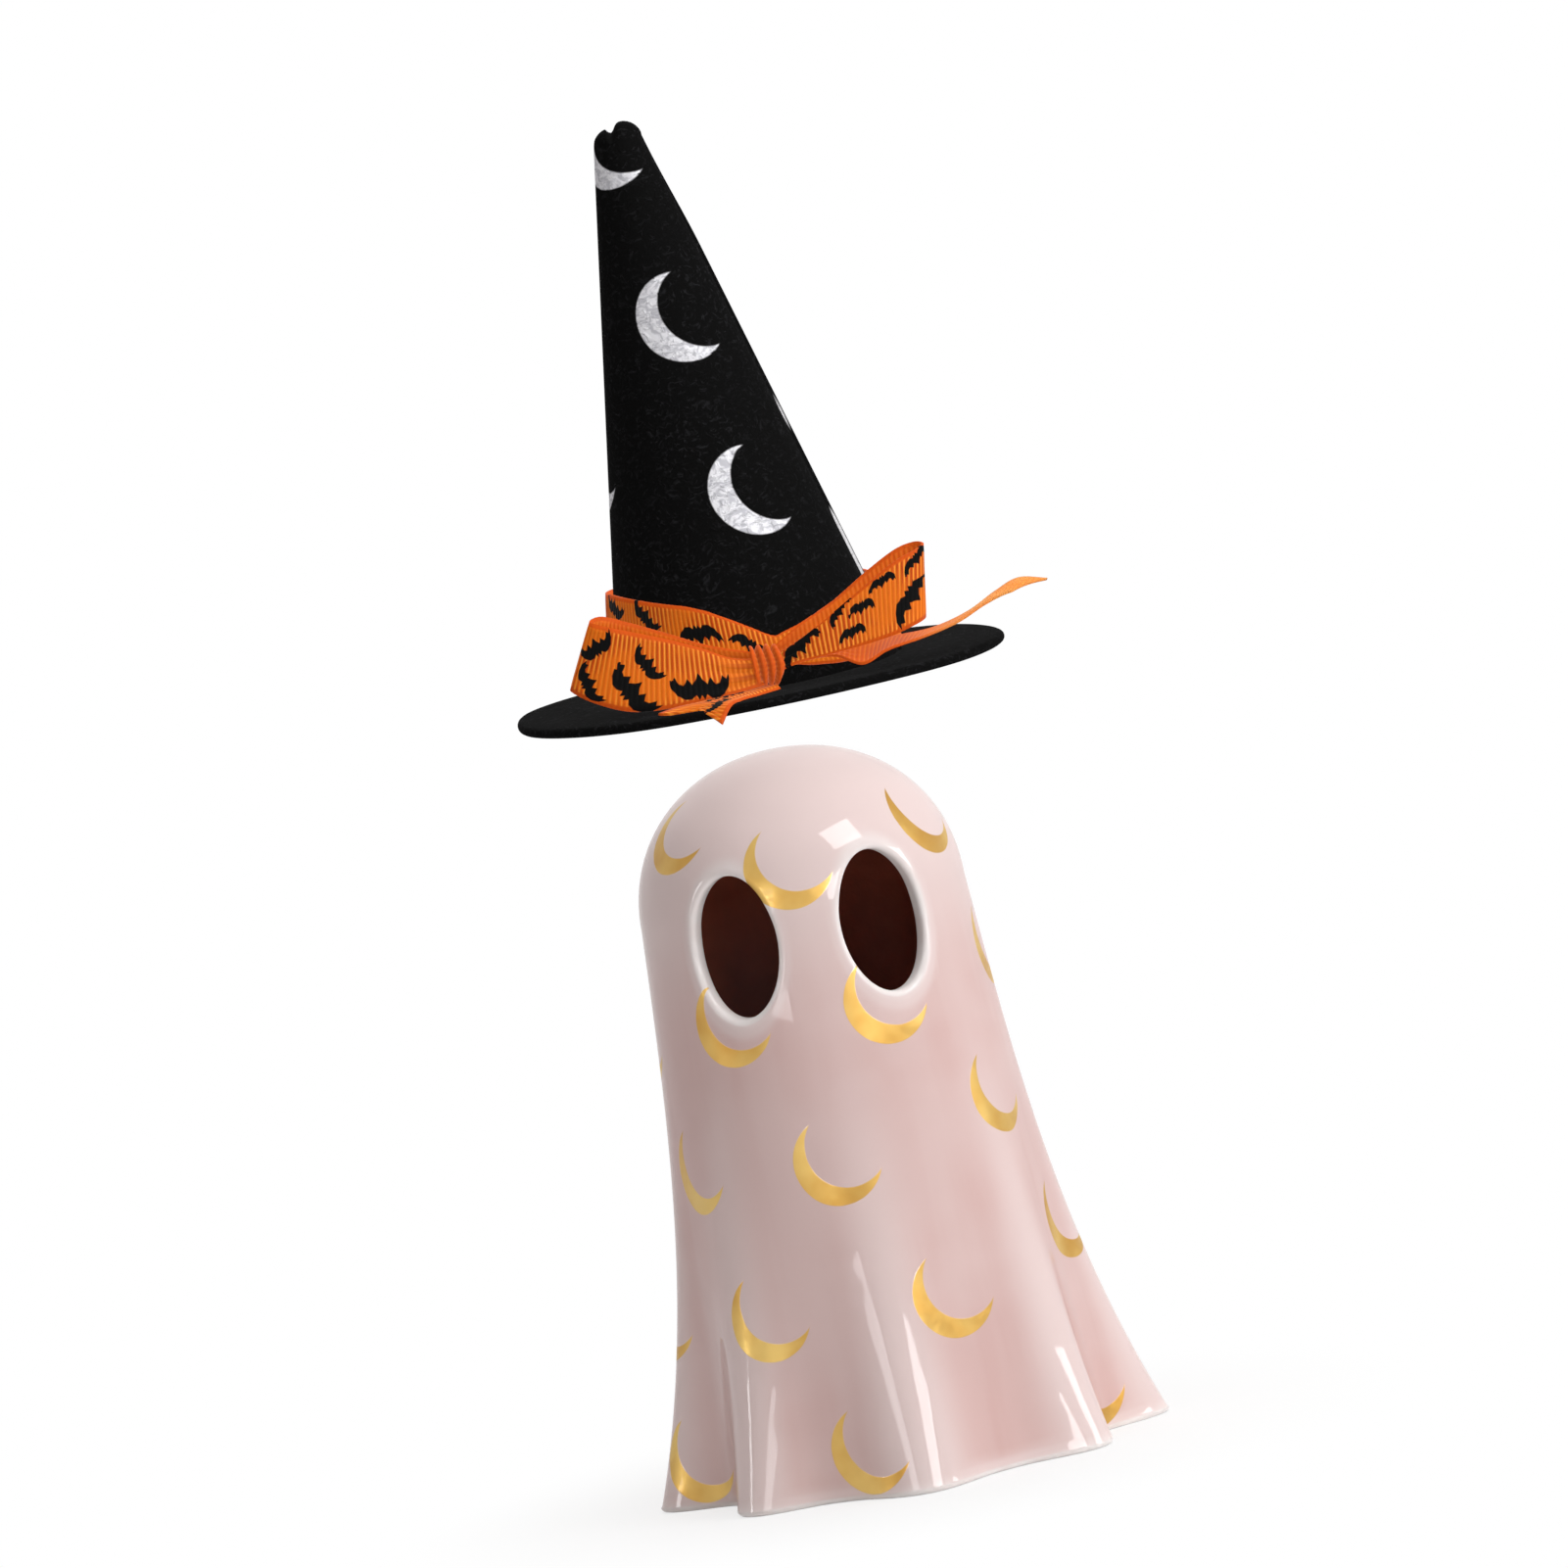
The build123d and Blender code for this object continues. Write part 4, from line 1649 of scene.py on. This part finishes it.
    def drawn_in(self, run: RibbonRun, distance: float, length: float) -> float:
        """How strongly the ribbon is drawn together near the knot.

        Args:
            run: The run.
            distance: Place along it.
            length: Its length.

        Returns:
            0 where it lies flat, about 1 at the knot.
        """
        near_start = run.gathers[0] * math.exp(-((distance / self.crease_reach) ** 2))
        near_end = run.gathers[1] * math.exp(-(((length - distance) / self.crease_reach) ** 2))
        return near_start + near_end

    def crease(self, run: RibbonRun, over: np.ndarray) -> np.ndarray:
        """How far the gathers stand out at places across a run."""
        wave = np.sin(2 * math.pi * run.pleats * over + 0.6)
        return self.crease_depth * wave * (1 - 0.3 * over**2)

    def thicken(self, piece: bpy.types.Object) -> None:
        """Gives the ribbon its thickness, its second finish on the inner side.

        Args:
            piece: The run's piece.
        """
        solid = piece.modifiers.new("thickness", "SOLIDIFY")
        solid.thickness = self.thickness * MM
        solid.offset = 0.0
        solid.material_offset = 1

    def build(self, finishes: dict[RibbonFace, bpy.types.Material]) -> None:
        """Draws the band and every run of the bow.

        Args:
            finishes: The finish of each face of the ribbon.
        """
        for run in [self.band_run(), *self.runs()]:
            printed = run.face is RibbonFace.PRINTED
            behind = RibbonFace.PLAIN if printed else RibbonFace.PRINTED
            self.draw(run, [finishes[run.face], finishes[behind]])


@dataclass(frozen=True)
class Lamp:
    """A soft lamp: where it stands, seen from the ghost, its size, its power and what it does."""

    name: str
    azimuth: float
    elevation: float
    distance: float
    size: tuple[float, float]
    power: float
    role: LampRole = LampRole.LIGHT
    aim: Triple = (0, 0, 0.1)


@dataclass
class Studio:
    """Camera, lamps, pale floor and surroundings."""

    target: Triple = (0.00072, 0.0, 0.12815)
    elevation: float = 6.0
    roll: float = -11.0
    distance: float = 3.0
    frame_width: float = 0.2882
    sensor: float = 36.0
    floor_reach: float = 6.0
    floor_tone: Colour = (0.86, 0.86, 0.86, 1.0)
    shadow_reach: tuple[float, float] = (0.03, 0.1)
    shadow_white: float = 0.7
    ambient: float = 0.14
    ambient_tint: Colour = (1.0, 0.88, 0.84, 1.0)
    lamps: tuple[Lamp, ...] = (
        Lamp("overhead", 60, 76, 1.5, (2.0, 2.0), 22.5),
        Lamp("key", 55, 39, 0.9, (0.33, 0.3), 1.45),
        Lamp("softbox", 52, 11, 0.9, (0.42, 0.28), 1.75),
        Lamp("rear", 180, 42, 1.2, (0.8, 0.8), 3.0),
        Lamp("brow_gloss", 48, 46, 0.9, (0.38, 0.26), 3.2, LampRole.GLOSS),
        Lamp("right_gloss", 74, 12, 0.9, (0.34, 0.24), 2.9, LampRole.GLOSS),
        Lamp("centre_gloss", 28, 12, 0.9, (0.34, 0.24), 2.9, LampRole.GLOSS),
        Lamp("valley_gloss", -28, 9.5, 0.9, (0.22, 0.29), 1.1, LampRole.GLOSS),
        Lamp("left_gloss", -74, 12, 0.9, (0.1, 0.3), 1.0, LampRole.GLOSS),
    )

    def build(self) -> None:
        """Sets up everything round the figure."""
        self.camera()
        for lamp in self.lamps:
            self.lamp(lamp)
        self.floor()
        self.surroundings()
        bpy.context.scene.view_settings.view_transform = "Standard"
        log.info("studio: camera, %d lamps, floor and surroundings", len(self.lamps))

    @staticmethod
    def direction(azimuth: float, elevation: float) -> Vector:
        """Direction from the ghost.

        Args:
            azimuth: Degrees from the face towards the viewer's right.
            elevation: Degrees above the table.

        Returns:
            The direction, of length 1.
        """
        turn, rise = math.radians(azimuth), math.radians(elevation)
        flat = math.cos(rise)
        return Vector((flat * math.sin(turn), -flat * math.cos(turn), math.sin(rise)))

    def camera(self) -> None:
        """Places the camera far off, turned about its own line of sight as the picture is."""
        data = bpy.data.cameras.new("camera")
        data.sensor_width = self.sensor
        data.lens = self.sensor * self.distance / self.frame_width
        data.clip_end = 30.0
        camera = place_in_scene("camera", data)
        back = self.direction(0, self.elevation)
        camera.location = Vector(self.target) + back * self.distance
        camera.rotation_mode = "QUATERNION"
        level = (-back).to_track_quat("-Z", "Y")
        camera.rotation_quaternion = level @ Quaternion((0, 0, 1), math.radians(self.roll))
        bpy.context.scene.camera = camera

    def lamp(self, lamp: Lamp) -> None:
        """Hangs one soft lamp.

        Args:
            lamp: Its place, size and power.
        """
        data = bpy.data.lights.new(lamp.name, "AREA")
        data.shape = "RECTANGLE"
        data.size, data.size_y = lamp.size
        data.energy = lamp.power
        hung = place_in_scene(lamp.name, data)
        hung.visible_glossy = lamp.role is LampRole.GLOSS
        hung.visible_diffuse = lamp.role is LampRole.LIGHT
        out = self.direction(lamp.azimuth, lamp.elevation)
        hung.location = Vector(lamp.aim) + out * lamp.distance
        hung.rotation_mode = "QUATERNION"
        hung.rotation_quaternion = (-out).to_track_quat("-Z", "Y")

    @staticmethod
    def background_ray(graph: Graph) -> bpy.types.NodeSocket:
        """Mask that is 1 where the camera, a reflection or glass looks at the background.

        Args:
            graph: The graph to draw it in.

        Returns:
            The mask.
        """
        path = graph.add("LightPath").outputs
        seen = graph.math("MAXIMUM", path["Is Camera Ray"], path["Is Glossy Ray"])
        return graph.math("MAXIMUM", seen, path["Is Transmission Ray"])

    def floor(self) -> None:
        """Lays a floor that keeps a soft shadow under the figure and is plain white beyond."""
        draft = MeshDraft()
        reach = self.floor_reach / MM
        signs = ((-1, -1), (1, -1), (1, 1), (-1, 1))
        corners = draft.row([(reach * x, reach * y, 0) for x, y in signs])
        draft.face(corners)
        material, graph, shader = new_material("floor")
        plain = {"Base Color": self.floor_tone, "Roughness": 0.9, "Specular IOR Level": 0.0}
        graph.fill(shader, plain)
        white = graph.add("Emission", {"Strength": 1.0}).outputs[0]
        away = graph.vector("LENGTH", graph.place()).outputs["Value"]
        shaded = graph.ease(away, *self.shadow_reach, self.shadow_white, 1.0)
        share = graph.times(shaded, self.background_ray(graph))
        surface = graph.add("MixShader", {0: share, 1: shader.outputs[0], 2: white})
        graph.fill(graph.find("OUTPUT_MATERIAL"), {"Surface": surface.outputs[0]})
        draft.make("floor", [material])

    def surroundings(self) -> None:
        """Lights the figure from all round and shows plain white behind it."""
        world = bpy.data.worlds.new("surroundings")
        world.use_nodes = True
        bpy.context.scene.world = world
        graph = Graph(world.node_tree)
        soft = graph.add("Background", {"Color": self.ambient_tint, "Strength": self.ambient})
        white = graph.add("Background", {"Color": (1, 1, 1, 1), "Strength": 1.0})
        seen = self.background_ray(graph)
        both = graph.add("MixShader", {0: seen, 1: soft.outputs[0], 2: white.outputs[0]})
        graph.fill(graph.find("OUTPUT_WORLD"), {"Surface": both.outputs[0]})


def main() -> None:
    """Builds the studio, the ghost, its hat and the bow."""
    logging.basicConfig(level=logging.INFO, format="%(name)s: %(message)s")
    Studio().build()
    effects = SurfaceEffects()
    GhostDrape().build(GlazeFinish().make(effects), BisqueFinish().make(effects))
    felt = FeltFinish().make(effects)
    hat = FeltHat()
    hat.cone(felt)
    hat.brim(felt)
    RibbonBow(hat=hat).build({face: GrosgrainFinish(face).make(effects) for face in RibbonFace})


if __name__ == "__main__":
    main()
